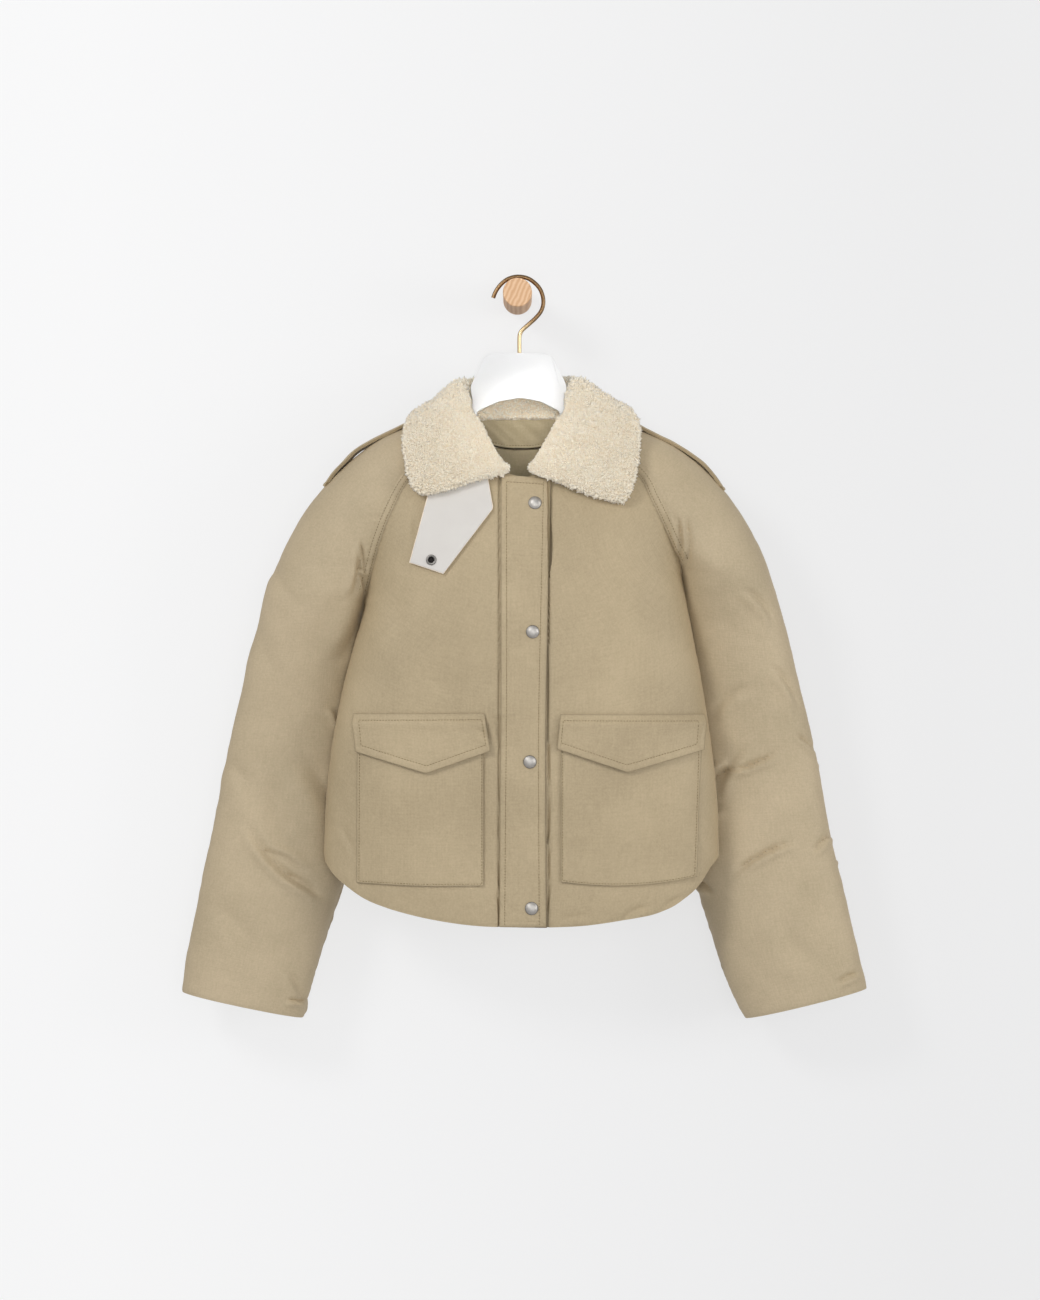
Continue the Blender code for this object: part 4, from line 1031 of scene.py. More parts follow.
def sleeve(name, stations, cols, rows, seed):
    """Padded sleeve from its table of sections."""
    open_until = open_share(stations)
    shares = steps(rows)
    shares[min(range(rows + 1), key=lambda k: abs(shares[k] - open_until))] = open_until
    sections = [sleeve_section(stations, share) for share in shares]
    fore = int(cols * IN_FRONT)
    qs = [tighter(q, 0.3) for q in steps(fore)[:-1]] + [1 + tighter(q, 0.3) for q in steps(cols - fore)]
    middle = [(section[0][0][0] + section[1]) / 2 for section in sections]
    run_out = (middle[-1] - middle[-4]).normalized() * 2.0

    def place(s, t):
        return sleeve_point(sections[round(t * rows)], qs[round(s * cols)]) + run_out * smooth(t, 0.96, 1.0)

    form = cloth_grid(cols, rows, 330.0, 800.0, place)
    facts = []
    number = form.verts.layers.int.new("number")
    for k, vert in enumerate(form.verts):
        # The grid's corners come row by row, so row and column are found from their number.
        i, j = divmod(k, cols + 1)
        q, across = qs[j], (sections[i][0][0][0] - sections[i][1]).length
        closing = hump((shares[i] - open_until) * SLEEVE_LONG, 26.0)
        over = smooth(open_until - shares[i], -0.01, 0.015)
        facts.append((q, min(q, 2 - q) * across * 1.05, (1 - shares[i]) * SLEEVE_LONG, over, closing))
        vert[number] = k
    bmesh.ops.remove_doubles(form, verts=form.verts, dist=0.05 * MM)
    form.normal_update()
    core = {round(c[2]): c for c in middle}

    def outwards(spot):
        z = spot.z / MM
        return spot / MM - core[min(core, key=lambda h: abs(h - z))]

    face_towards(form, outwards)
    own_facts = [facts[vert[number]] for vert in form.verts]
    for vert, fact in zip(form.verts, own_facts):
        vert.co += vert.normal * sleeve_rise(vert.co.x / MM, vert.co.z / MM, *fact, seed) * MM
    # Painted shade: the cloth darkens along the raglan seam above the underarm.
    shaded(form, [0.55 * over * fade(seam_away, 0.8) for _, seam_away, _, over, _ in own_facts])
    node = name.removeprefix("padded_")
    piece = wall(finished(form, name, (CROSS_GRAIN_PAINTED_LIGHTER, LINING), (node,)), WALL)
    print(name, triangles(piece), "triangles")
    return piece


sleeve_left = sleeve("padded_sleeve_left", SLEEVE_LEFT, 108, 320, 31.0)
sleeve_right = sleeve("padded_sleeve_right", SLEEVE_RIGHT, 108, 320, 47.0)

# %% [markdown]
# ## What is sewn on the fronts
# The placket, the pocket bags and the flaps are flat pieces laid on the finished fronts,
# so they take every swell of the cloth under them. Each has a folded edge that stands a
# little proud between the edge and its line of stitches, and a groove under the stitches.

# %% outlines of the flat pieces
PLACKET = ((-18.6, -211.4, 38.0, -215.3), (-18.6, -290.0, 36.5, -290.0), (-18.6, -464.0, 32.6, -464.0),
           (-19.6, -577.0, 32.3, -577.0), (-20.8, -722.6, 33.1, -723.4))
BAG_LEFT = ((-180.5, -500.0), (-38.4, -500.0), (-38.4, -675.6), (-110.0, -675.8), (-181.4, -673.1))
BAG_RIGHT = ((49.3, -500.0), (208.0, -500.0), (202.9, -666.8), (165.0, -672.6), (124.0, -675.4),
             (86.0, -674.8), (49.3, -671.4))
FLAP_LEFT = ((-184.7, -481.9), (-37.2, -480.8), (-30.5, -523.1), (-102.3, -548.5), (-180.1, -524.9))
FLAP_RIGHT = ((48.5, -481.9), (210.5, -482.9), (207.1, -523.4), (123.4, -547.5), (44.5, -520.8))
BAG_GAP = 1.7
FLAP_GAPS = (7.2, 4.0, 8.0, 8.0, 4.0)
# This stands for an edge without stitches, which is also thicker and rolls more.
UNSTITCHED = 40.0


def edge_away(x, z, outline, gaps):
    """Distance from a point to the nearest edge of an outline, and how far in that edge is stitched."""
    best = (1e9, 0.0)
    for (x0, z0), (x1, z1), gap in zip(outline, (*outline[1:], outline[0]), gaps):
        run = (x1 - x0) ** 2 + (z1 - z0) ** 2
        at = min(max(((x - x0) * (x1 - x0) + (z - z0) * (z1 - z0)) / run, 0.0), 1.0)
        best = min(best, (math.hypot(x - x0 - at * (x1 - x0), z - z0 - at * (z1 - z0)), gap))
    return best


def folded_edge(away, gap):
    """Height of a flat piece: rolled edge, proud fold, groove under the stitches."""
    roll = 1.0 if gap == UNSTITCHED else 0.5
    proud = 0.4 * (1 - smooth(away, gap - 0.6, gap + 1.2))
    return -roll * fade(away, 0.6) + proud - 0.55 * hump(away - gap, 0.8)


def laid_piece(name, place, outline, gaps, cols, rows, size, lift, thick, looks=None,
               rim=lambda x: (0.5, 0.5)):
    """Flat piece over the finished fronts; place(s, t) gives x and z, lift(x, z) the air under it.

    rim(x) gives how dark the painted shade along the folded edge is and how far in from the edge it reaches."""
    shades = []

    def spot(s, t):
        x, z = place(tighter(s, 0.6), tighter(t, 0.6))
        base, normal = front_frame(x, z)
        away, gap = edge_away(x, z, outline, gaps)
        # Painted shade: a stitched folded edge is darkened, fading inwards from the edge.
        dark, reach = rim(x)
        shade, pucker = 0.0, 0.0
        if gap != UNSTITCHED:
            shade = dark * fade(away, reach)
            pucker = 0.45 * uneven(x / 4.5, z / 4.5, 2.0) * (1 - smooth(away, gap, gap + 7.0))
        shades.append(shade)
        return base + normal * (lift(x, z) + thick + pucker + folded_edge(away, gap))

    form = cloth_grid(cols, rows, *size, spot)
    shaded(form, shades)
    face_towards(form, lambda at: Vector((0, -1, 0)))
    slot, node = ("tab_leather", "throat_tab") if looks else ("shell_cotton", name.removeprefix("stitched_"))
    piece = wall(finished(form, name, looks or (SHELL,), (node,), 45), thick, lined=False)
    print(name, triangles(piece), "triangles")
    return piece


# %% placket, pockets and flaps
def placket_place(s, t):
    """Place on the placket: s across, t up."""
    left_x, left_z, right_x, right_z = along(PLACKET, 1 - t)
    return left_x + (right_x - left_x) * s, left_z + (right_z - left_z) * s


def close_air(x, z):
    """The air under a piece that lies close."""
    return LAY


def bag_place(outline):
    """Place rule of a pocket bag: straight top, and a foot that sags a little."""
    top_left, top_right, foot = Vector(outline[0]), Vector(outline[1]), outline[:1:-1]
    return lambda s, t: tuple(along(foot, s).lerp(top_left.lerp(top_right, s), t))


def flap(name, corners):
    """Pointed flap that stands off its pocket bag below its own seam."""
    top_left, top_right, low_right, point, low_left = [Vector(c) for c in corners]
    mid = (point[0] - low_left[0]) / (low_right[0] - low_left[0])

    def place(s, t):
        foot = low_left.lerp(point, s / mid) if s < mid else point.lerp(low_right, (s - mid) / (1 - mid))
        return tuple(foot.lerp(top_left.lerp(top_right, s), t))

    def lift(x, z):
        return LAY + 4.2 * smooth(-z, 483.0, 494.0) + 0.4 * smooth(-z, 504.0, 540.0)

    wide = (top_right - top_left).length
    return laid_piece(name, place, corners, FLAP_GAPS, 72, 42, (wide, 67.0), lift, 2.2)


PLACKET_EDGE = (*[tuple(along(PLACKET, share)[:2]) for share in steps(12)],
                *[tuple(along(PLACKET, 1 - share)[2:]) for share in steps(12)])
PLACKET_GAPS = [6.3] * 12 + [6.0] + [8.4] * 12 + [7.0]
# The placket's free right edge gets a darker, wider painted shade: a painted shadow line beside it.
placket = laid_piece("stitched_placket", placket_place, PLACKET_EDGE, PLACKET_GAPS, 40, 270, (54.0, 511.0),
                     close_air, 2.8,
                     rim=lambda x: (1.0, 0.9) if x > 20 else (0.5, 0.5))
bag_left = laid_piece("stitched_pocket_left", bag_place(BAG_LEFT), BAG_LEFT, [BAG_GAP] * 5, 64, 74,
                      (143.0, 176.0), close_air, 2.3)
bag_right = laid_piece("stitched_pocket_right", bag_place(BAG_RIGHT), BAG_RIGHT, [BAG_GAP] * 7, 68, 74,
                       (157.0, 174.0), close_air, 2.3)
flap_left = flap("stitched_flap_left", FLAP_LEFT)
flap_right = flap("stitched_flap_right", FLAP_RIGHT)

# %% [markdown]
# ## Throat tab
# A pointed off-white leather tab hangs from under the left collar leaf. Its cut edge is
# painted peach-cream, so the thin wall of the sheet takes a second material.

# %% leather tab
TAB_EDGE = ((-98.5, -225.0), (-34.5, -209.0), (-27.2, -250.3), (-83.0, -324.0), (-121.0, -310.9))
# A face of the wall counts as cut edge when its normal has less of y than this.
EDGE_FACE = 0.86


def tab_place(s, t):
    """Place on the tab: its right side runs down to the corner at a third, then on to the point."""
    top_left, top_right, corner, point, low_left = [Vector(p) for p in TAB_EDGE]
    left = low_left.lerp(top_left, t)
    t = 1 - t
    right = top_right.lerp(corner, t * 3) if t < 1 / 3 else corner.lerp(point, (t - 1 / 3) * 1.5)
    return tuple(left.lerp(right, s))


throat_tab = laid_piece("leather_throat_tab", tab_place, TAB_EDGE, [UNSTITCHED] * 5, 44, 60,
                        (94.0, 112.0), lambda x, z: 2.2, 2.2,
                        looks=(LEATHER, EDGE_PAINT))
for face in throat_tab.data.polygons:
    if abs(face.normal.y) < EDGE_FACE:
        face.material_index = 1

# %% [markdown]
# ## Snaps
# Four domed caps close the placket and a socket sits on the tab. Such parts are pressed
# and rolled from sheet metal, so each is spun from two profiles round one axis, each in
# its own metal: a rolled rim with a domed cap in it, or a ring with a well in it. They
# are seated on the cloth by a ray from the front.

# %% snaps and socket
def tree_over(pieces):
    """What a ray or a nearest-point search meets on the given pieces."""
    verts, faces = [], []
    for piece in pieces:
        base = len(verts)
        verts += [v.co.copy() for v in piece.data.vertices]
        faces += [[base + k for k in p.vertices] for p in piece.data.polygons]
    return BVHTree.FromPolygons(verts, faces)


def seen_at(tree, x, z, back=False):
    """Point and normal of the first face met from the front, or from behind, at x and z."""
    start = Vector((x * MM, 0.3 if back else -0.5, z * MM))
    spot, normal, _, _ = tree.ray_cast(start, Vector((0, -1 if back else 1, 0)))
    return spot, normal


def turned(name, parts, spot, normal, node):
    """Round piece spun from radius and height profiles, one material each, its axis along the normal."""
    form = bmesh.new()
    for number, (profile, _) in enumerate(parts):
        old = set(form.faces)
        verts = [form.verts.new((r * MM, 0.0, h * MM)) for r, h in profile]
        edges = [form.edges.new(pair) for pair in zip(verts, verts[1:])]
        bmesh.ops.spin(form, geom=[*verts, *edges], cent=(0, 0, 0), axis=(0, 0, 1), angle=2 * math.pi,
                       steps=40, use_merge=True)
        for face in set(form.faces) - old:
            face.material_index = number
    bmesh.ops.remove_doubles(form, verts=form.verts, dist=1e-6)
    bmesh.ops.recalc_face_normals(form, faces=form.faces)
    seat = Matrix.Translation(spot) @ normal.to_track_quat("Z", "Y").to_matrix().to_4x4()
    bmesh.ops.transform(form, matrix=seat, verts=form.verts)
    return finished(form, name, [look for _, look in parts], (node,), 35)


SNAPS = ((19.8, -243.0), (17.2, -389.0), (14.1, -535.6), (16.0, -701.4))
RIM = ((0.0, -0.3), (7.0, -0.3), (7.45, 0.1), (7.5, 0.6), (7.3, 1.05), (6.9, 1.2), (6.7, 1.1))
CAP = ((6.7, 1.1), (6.3, 1.35), (5.7, 1.95), (4.6, 2.6), (3.2, 3.1), (1.6, 3.4), (0.0, 3.5))
placket_tree = tree_over([placket])
for number, (x, z) in enumerate(SNAPS, 1):
    spot, normal = seen_at(placket_tree, x, z)
    turned(f"nickel_snap_{number}", [(RIM, STEEL), (CAP, NICKEL)], spot, normal,
           f"snap_{number}")

RING = ((6.1, -0.2), (6.1, 0.6), (5.9, 1.1), (5.3, 1.4), (4.4, 1.4), (3.7, 1.1), (3.4, 0.4), (3.4, -0.2),
        (6.1, -0.2))
WELL = ((0.0, -0.2), (3.35, -0.2), (3.35, 0.5), (3.0, 0.85), (2.3, 0.8), (1.9, 0.35), (0.0, 0.3))
spot, normal = seen_at(tree_over([throat_tab]), -97.3, -307.8)
# The well's dark metal is in part painted shade of the socket's hollow.
turned("tab_snap_socket", [(RING, STEEL), (WELL, DARK_METAL_AND_HOLLOW_SHADE)], spot, normal, "tab_socket")
print("snaps seated")

# %% [markdown]
# ## Collar stand and epaulettes
# The stand is a plain cotton band inside the back of the neck with a few soft folds.
# The epaulettes are straps laid over the shoulder seams and seen edge-on from the front.

# %% collar stand
STAND_LOW = ((-47.0, -167.6), (-20.0, -176.1), (3.0, -177.6), (26.0, -176.1), (53.0, -167.6))
STAND_TOP = -144.5
STAND_COLS, STAND_ROWS = 70, 26
# Above its lower edge the stand has a proud fold, and a groove where it is stitched.
STAND_GAP = 4.5


def stand_place(s, t):
    """Place on the stand: s across, t up."""
    foot = along(STAND_LOW, s)
    z = foot[1] + (STAND_TOP - foot[1]) * t
    slant = (foot[0] + 1.1 * z) / 11
    fold = 1.5 * uneven(slant, z / 60, 4.0) + 0.5 * uneven(foot[0] / 30, z / 6, 8.0)
    edge = 0.9 * (1 - smooth(z - foot[1], 3.2, 5.2)) - 0.5 * hump(z - foot[1] - 4.6, 0.8)
    return body_point(turn_of(foot[0], z), z, True, 2.4) + Vector((0, -1.2 - fold - edge, 0))


form = cloth_grid(STAND_COLS, STAND_ROWS, 106.0, 26.0, stand_place)
# The two lowest rows of corners lie in the seam and get the full painted shade: a dark line of painted shadow
# under the stand.
shaded(form, [1.0 if k < 2 * (STAND_COLS + 1) else 0.0 for k in range(len(form.verts))])
face_towards(form, lambda at: Vector((0, -1, 0)))
stand = wall(finished(form, "stitched_collar_stand", (FACING_PAINTED_LIGHTER,), ("collar_stand",), 45), 2.0,
             lined=False)
print("stand", triangles(stand), "triangles")

# %% epaulettes
EPAULETTE_LEFT = ((-127.0, -150.5), (-146.9, -160.0), (-167.5, -170.2), (-185.1, -180.6), (-199.7, -195.2),
                  (-211.5, -207.8), (-217.5, -216.2), (-221.5, -222.0))
EPAULETTE_RIGHT = ((134.0, -149.5), (153.1, -160.0), (176.5, -171.7), (194.1, -182.0), (213.2, -196.0),
                   (226.5, -211.4), (232.5, -220.1), (237.0, -226.8))
STRAP_WIDE, STRAP_THICK = 40.0, 3.2
# The free end of a strap narrows over its last millimetres.
STRAP_TIP = 7.0


def epaulette(name, line, node, seed):
    """Strap along a line over the shoulder, bowed across."""
    rows = 80
    path = by_length([(x, HANG_Y, z) for x, z in line], steps(rows))
    length = line_length(path)

    def place(s, t):
        i = round(t * rows)
        run = (path[min(i + 1, rows)] - path[max(i - 1, 0)]).normalized()
        up = Vector((0, 1, 0)).cross(run)
        up = up if up[2] > 0 else -up
        end_away = (1 - t) * length
        half = STRAP_WIDE / 2 - 5.0 * smooth(end_away, STRAP_TIP, 0.0)
        across = tighter(s, 0.5) * 2 - 1
        away = min(half * (1 - abs(across)), end_away)
        rise = 2.8 + folded_edge(away, 5.0) - 2.6 * across**2 + 0.5 * uneven(t * 7, s * 2, seed)
        return path[i] + Vector((0, 1, 0)) * half * across + up * rise

    form = cloth_grid(24, rows, STRAP_WIDE, length, place)
    face_towards(form, lambda at: Vector((0, 0, 1)))
    piece = wall(finished(form, name, (SHELL,), (node,), 45), STRAP_THICK, lined=False)
    print(name, round(length), "mm long")
    return piece


epaulette("strap_epaulette_left", EPAULETTE_LEFT, "epaulette_left", 3.0)
epaulette("strap_epaulette_right", EPAULETTE_RIGHT, "epaulette_right", 8.0)

# %% [markdown]
# ## Shearling collar
# Shearling is a skin with its wool on, here turned outwards. The leather is never seen,
# so the body of the collar is a soft closed slab, remeshed evenly, and its looks come
# from curls: small bent tufts scattered over it and hanging over its edges, which give
# the ragged outline.

# %% collar slab
COLLAR_LEFT = (
    ((-19, -141, -203), (-14, -152, -207), (-50, -160, -216), (-84, -160, -228), (-109, -156, -233)),
    ((-31, -132, -188), (-26, -147, -189), (-60, -157, -198), (-95, -158, -210), (-120, -156, -219)),
    ((-40, -121, -171), (-36, -139, -171), (-66, -151, -178), (-98, -154, -190), (-124, -152, -200)),
    ((-46, -110, -159), (-43, -131, -155), (-70, -143, -160), (-100, -149, -170), (-127, -146, -181)),
    ((-54, -101, -151), (-52, -119, -142), (-74, -132, -145), (-102, -138, -152), (-127, -135, -162)),
    ((-61, -96, -141), (-58, -107, -127), (-77, -116, -130), (-101, -118, -138), (-122, -113, -149)),
    ((-65, -82, -139), (-65, -89, -114), (-78, -97, -119), (-97, -92, -132), (-114, -83, -144)),
    ((-60, -67, -140), (-61, -69, -107), (-74, -72, -109), (-91, -60, -133), (-104, -50, -156)),
    ((-42, -65, -143), (-46, -57, -104), (-56, -44, -111), (-72, -32, -145), (-79, -30, -176)),
    ((-22, -63, -142), (-23, -53, -103), (-27, -36, -111), (-37, -27, -150), (-42, -26, -182)),
)
COLLAR_BACK = (((3, -62, -142), (3, -52, -103), (3, -34, -111), (3, -25, -150), (3, -25, -184)),)
COLLAR_RIGHT = (
    ((21, -141, -202), (16, -152, -206), (50, -160, -219), (88, -160, -235), (119, -156, -242)),
    ((32, -132, -186), (28, -147, -187), (62, -157, -199), (98, -158, -213), (128, -156, -225)),
    ((41, -121, -170), (38, -139, -170), (68, -151, -178), (101, -154, -191), (133, -152, -204)),
    ((48, -110, -158), (46, -131, -153), (73, -143, -158), (105, -149, -170), (136, -146, -182)),
    ((57, -101, -150), (55, -119, -140), (76, -132, -143), (106, -138, -150), (136, -135, -161)),
    ((63, -96, -140), (60, -107, -125), (79, -116, -127), (104, -118, -133), (131, -113, -145)),
    ((65, -82, -137), (65, -89, -111), (80, -97, -113), (100, -92, -125), (121, -83, -138)),
    ((61, -67, -139), (63, -69, -104), (76, -72, -105), (95, -60, -128), (110, -50, -154)),
    ((44, -65, -143), (48, -57, -103), (58, -44, -109), (75, -32, -145), (82, -30, -176)),
    ((26, -63, -142), (27, -53, -103), (31, -36, -111), (42, -27, -150), (47, -26, -182)),
)
COLLAR_HALF = 5.0
# The air left under the slab, and how far off the cloth may be and still lift it.
COLLAR_CLEAR, COLLAR_NEAR = 1.2, 25
collar_cols, collar_rows = 40, 170
section_lines = [by_length(section, steps(collar_cols))
                 for section in (*COLLAR_LEFT, *COLLAR_BACK, *reversed(COLLAR_RIGHT))]
collar_middle = [[along([line[j] for line in section_lines], share) for j in range(collar_cols + 1)]
                 for share in steps(collar_rows)]
under_collar = tree_over([front_left, front_right, sleeve_left, sleeve_right, throat_tab, placket])


def collar_place(s, t):
    """Middle of the collar, lifted where its underside would touch the cloth below."""
    point = collar_middle[round(t * collar_rows)][round(s * collar_cols)]
    for _ in range(4):
        spot, normal, _, far = under_collar.find_nearest(point * MM)
        outside = (point * MM - spot).dot(normal) > 0
        if far > COLLAR_NEAR * MM or (outside and far >= (COLLAR_HALF + COLLAR_CLEAR) * MM):
            break
        point = (spot + normal * ((COLLAR_HALF + COLLAR_CLEAR + 0.1) * MM)) / MM
    return point


form = cloth_grid(collar_cols, collar_rows, 130.0, 560.0, collar_place)
bmesh.ops.smooth_vert(form, verts=form.verts, factor=0.5, use_axis_x=True, use_axis_y=True, use_axis_z=True)
collar_core = finished(form, "shearling_collar", (SHEARLING,), ("collar",), 180)
solid = collar_core.modifiers.new("slab", "SOLIDIFY")
solid.thickness, solid.offset = 2 * COLLAR_HALF * MM, 0.0
even = collar_core.modifiers.new("even", "REMESH")
even.mode, even.voxel_size = "VOXEL", 2.3 * MM
rounder = collar_core.modifiers.new("rounder", "SMOOTH")
rounder.factor, rounder.iterations = 0.5, 6
baked = settled(collar_core)
collar_core.modifiers.clear()
collar_core.data = baked
print("collar slab", triangles(collar_core), "triangles")


# %% curls
# From here on towards the wall, in metres, the collar is its part round the back of the neck.
BACK_PART = -0.085


def curl_form():
    """One curl: a short bead, bent over, of ten faces that are shaded smooth."""
    form = bmesh.new()
    bmesh.ops.create_uvsphere(form, u_segments=5, v_segments=2, radius=1.0)
    for vert in form.verts:
        vert.co.z *= 1.2
        vert.co.x += 0.35 * vert.co.z**2
    return as_mesh(form, "curl")


def trimmed(at, normal):
    """1 where the pile is clipped short: at the neck edges of the leaves and the lower edge of the back."""
    if at.y > BACK_PART:
        return 0.6 * smooth(-normal.z, 0.1, 0.5)
    low, high = smooth(at.z, -0.207, -0.190), smooth(at.z, -0.118, -0.135)
    return smooth(-math.copysign(normal.x, normal.x * at.x), 0.15, 0.55) * low * high


def scatter_curls(name, core, count, seed, keep, pale=0.5):
    """Scatters curls over the faces that keep(centre, normal) allows; longer ones hang over the edges."""
    rng = random.Random(seed)
    faces = [p for p in core.data.polygons if keep(p.center, p.normal)]
    ends, total = [], 0.0
    for face in faces:
        total += face.area
        ends.append(total)
    form = bmesh.new()
    shade = form.verts.layers.float.new("curl_shade")
    curl = curl_form()
    k = 0
    for n in range(count):
        want = total * (n + rng.random()) / count
        while ends[k] < want and k < len(faces) - 1:
            k += 1
        face = faces[k]
        corners = [core.data.vertices[v].co for v in face.vertices]
        a, b = rng.random(), rng.random()
        spot = corners[0].lerp(corners[1], a).lerp(corners[-1].lerp(corners[-2], a), b)
        tilt = Vector((rng.uniform(-1, 1), rng.uniform(-1, 1), rng.uniform(-1, 1))) * 0.9
        aim = (face.normal + tilt).normalized().to_track_quat("Z", "Y").to_matrix().to_4x4()
        clipped = trimmed(face.center, face.normal)
        rim = smooth(abs(face.normal.y), 0.75, 0.25) * rng.random() * (1 - clipped)
        size = (rng.uniform(1.0, 1.8) * (1 - 0.35 * clipped) + 1.1 * rim) * MM
        sizes = (size * rng.uniform(0.7, 1.1), size * rng.uniform(0.6, 0.9), size * rng.uniform(0.9, 1.5), 1)
        out = face.normal * size * (0.35 + 0.5 * rim - 0.35 * clipped)
        twist = Matrix.Rotation(rng.uniform(0, 6.28), 4, "Z")
        place = Matrix.Translation(spot + out) @ aim @ twist @ Matrix.Diagonal(sizes)
        first = len(form.verts)
        curl.transform(place)
        form.from_mesh(curl)
        curl.transform(place.inverted())
        form.verts.ensure_lookup_table()
        tone = pale + rng.uniform(-0.22, 0.22)
        for vert in form.verts[first:]:
            vert[shade] = tone
    piece = finished(form, name, (SHEARLING,), (), 180)
    print(name, triangles(piece), "triangles")
    return piece


# The slab itself is lumpy like pile, a little sunk where it is clipped, and fuller at the
# lower edge of the back.
for vert in collar_core.data.vertices:
    at = vert.co / MM
    shaped = 4.0 if -85 < at.y < -50 else -2.6
    lumps = 0.8 * noise.noise(at / 13) + 1.0 * noise.noise(at / 4.5)
    vert.co += vert.normal * MM * (lumps + shaped * trimmed(vert.co, vert.normal))
# Painted shade: the slab shows only in the hollows between the curls, and its tone is set low, so the hollows
# look darker.
shade = collar_core.data.attributes.new("curl_shade", "FLOAT", "POINT")
for k, vert in enumerate(collar_core.data.vertices):
    shade.data[k].value = 0.25 + 0.3 * noise.noise(vert.co / MM / 3.0)
print("the slab is shaped for its curls")

# %% [markdown]
# ## Stitches
# A topstitch is a row of short threads, each sunk a little into the cloth. One stitch is
# a stretched bead of a few faces. It is laid every 3.3 mm along a line that is cast onto
# the finished cloth from the front or from behind. The stitches of one kind of seam are
# one mesh.

# %% stitch rows
shape = bmesh.new()
bmesh.ops.create_icosphere(shape, subdivisions=1, radius=1.0)
BEAD_FACES = len(shape.faces)
BEAD = as_mesh(shape, "stitch")
STITCH_GAP = 3.3


def stitch_row(form, tree, points, back=False):
    """Lays stitches along a line seen at x and z onto what the tree holds."""
    count = max(int(line_length(points) / STITCH_GAP), 1)
    laid = [seen_at(tree, p[0], p[1], back) for p in by_length(points, steps(count))]
    for (a, normal_a), (b, _) in zip(laid, laid[1:]):
        if a is None or b is None or (a - b).length > 2.5 * STITCH_GAP * MM:
            continue
        run = b - a
        side = normal_a.cross(run).normalized()
        up = run.normalized().cross(side).normalized()
        if up.dot(normal_a) < 0:
            up = -up
        turn = Matrix((run.normalized(), side, up)).transposed().to_4x4()
        place = (Matrix.Translation((a + b) / 2 + up * 0.12 * MM) @ turn
                 @ Matrix.Diagonal((run.length * 0.40, 0.46 * MM, 0.36 * MM, 1)))
        BEAD.transform(place)
        form.from_mesh(BEAD)
        BEAD.transform(place.inverted())


def inset(outline, gaps):
    """The outline's edges moved inwards, each by its own gap, and the corners where they meet."""
    corners = [Vector((*p, 0.0)) for p in outline]
    ends = corners[1:] + corners[:1]
    turn = Vector((0, 0, math.copysign(1, sum(a.cross(b)[2] for a, b in zip(corners, ends)))))
    moved = []
    for a, b, gap in zip(corners, ends, gaps):
        inwards = turn.cross(b - a).normalized() * gap
        moved.append((a + inwards, b + inwards))
    return [tuple(intersect_line_line(*moved[k - 1], *moved[k])[0][:2]) for k in range(len(moved))]


def sewn(name, rows):
    """One piece with every stitch of the given rows: (tree, points, back)."""
    form = bmesh.new()
    for tree, points, back in rows:
        stitch_row(form, tree, points, back)
    piece = finished(form, name, (THREAD,), (), 180)
    print(name, len(piece.data.polygons) // BEAD_FACES, "stitches")
    return piece


# %% stitch lines
PLACKET_LOW, PLACKET_HIGH = -721.0, -218.0
UNDER_FLAP = -520.0


def straight(a, b):
    """A line of one straight part."""
    return [tuple(a), tuple(b)]


rows = []
for x_in, column in ((6.3, 0), (-8.4, 2)):
    edge = [along(PLACKET, share) for share in steps(20)]
    line = [(p[column] + x_in, min(max(p[column + 1], PLACKET_LOW), PLACKET_HIGH)) for p in edge]
    rows.append((placket_tree, line, False))
rows.append((placket_tree, straight((-12.3, -218.8), (29.6, -221.8)), False))
sewn("placket_stitches", rows)
rows = []
for piece, outline in ((bag_left, BAG_LEFT), (bag_right, BAG_RIGHT)):
    line = inset(outline, [BAG_GAP] * len(outline))
    tree = tree_over([piece])
    rows += [(tree, straight((line[0][0], UNDER_FLAP), line[-1]), False), (tree, line[:1:-1], False),
             (tree, straight(line[2], (line[1][0], UNDER_FLAP)), False)]
for piece, outline in ((flap_left, FLAP_LEFT), (flap_right, FLAP_RIGHT)):
    line = inset(outline, FLAP_GAPS)
    tree = tree_over([piece])
    rows += [(tree, straight(a, b), False) for a, b in zip(line, (*line[1:], line[0]))]
sewn("pocket_stitches", rows)


def raglan_rows(piece, stations):
    """Two rows beside the raglan seam on the sleeve, in front and behind."""
    tree = tree_over([piece])
    made = []
    for beside in (2.2, 8.0):
        line = []
        for k in range(1, 30):
            here, away = beside_seam(stations, UNDERARM / (len(stations) - 1) * k / 30)
            line.append((here[0] + away[0] * beside, here[1] + away[2] * beside))
        made += [(tree, line, False), (tree, line, True)]
    return made


sewn("raglan_stitches", [*raglan_rows(sleeve_left, SLEEVE_LEFT), *raglan_rows(sleeve_right, SLEEVE_RIGHT)])
stand_line = [(p[0], p[1] + STAND_GAP) for p in by_length(STAND_LOW, steps(20)[1:-1])]
sewn("stand_stitches", [(tree_over([stand]), stand_line, False)])

# %% [markdown]
# ## Hanger, hook and peg
# The hanger is a flat board cut to a plate with two arms, rounded at its edges and
# lacquered. The hook is one bent wire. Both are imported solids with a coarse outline, so
# they are drawn again on smooth lines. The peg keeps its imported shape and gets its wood.

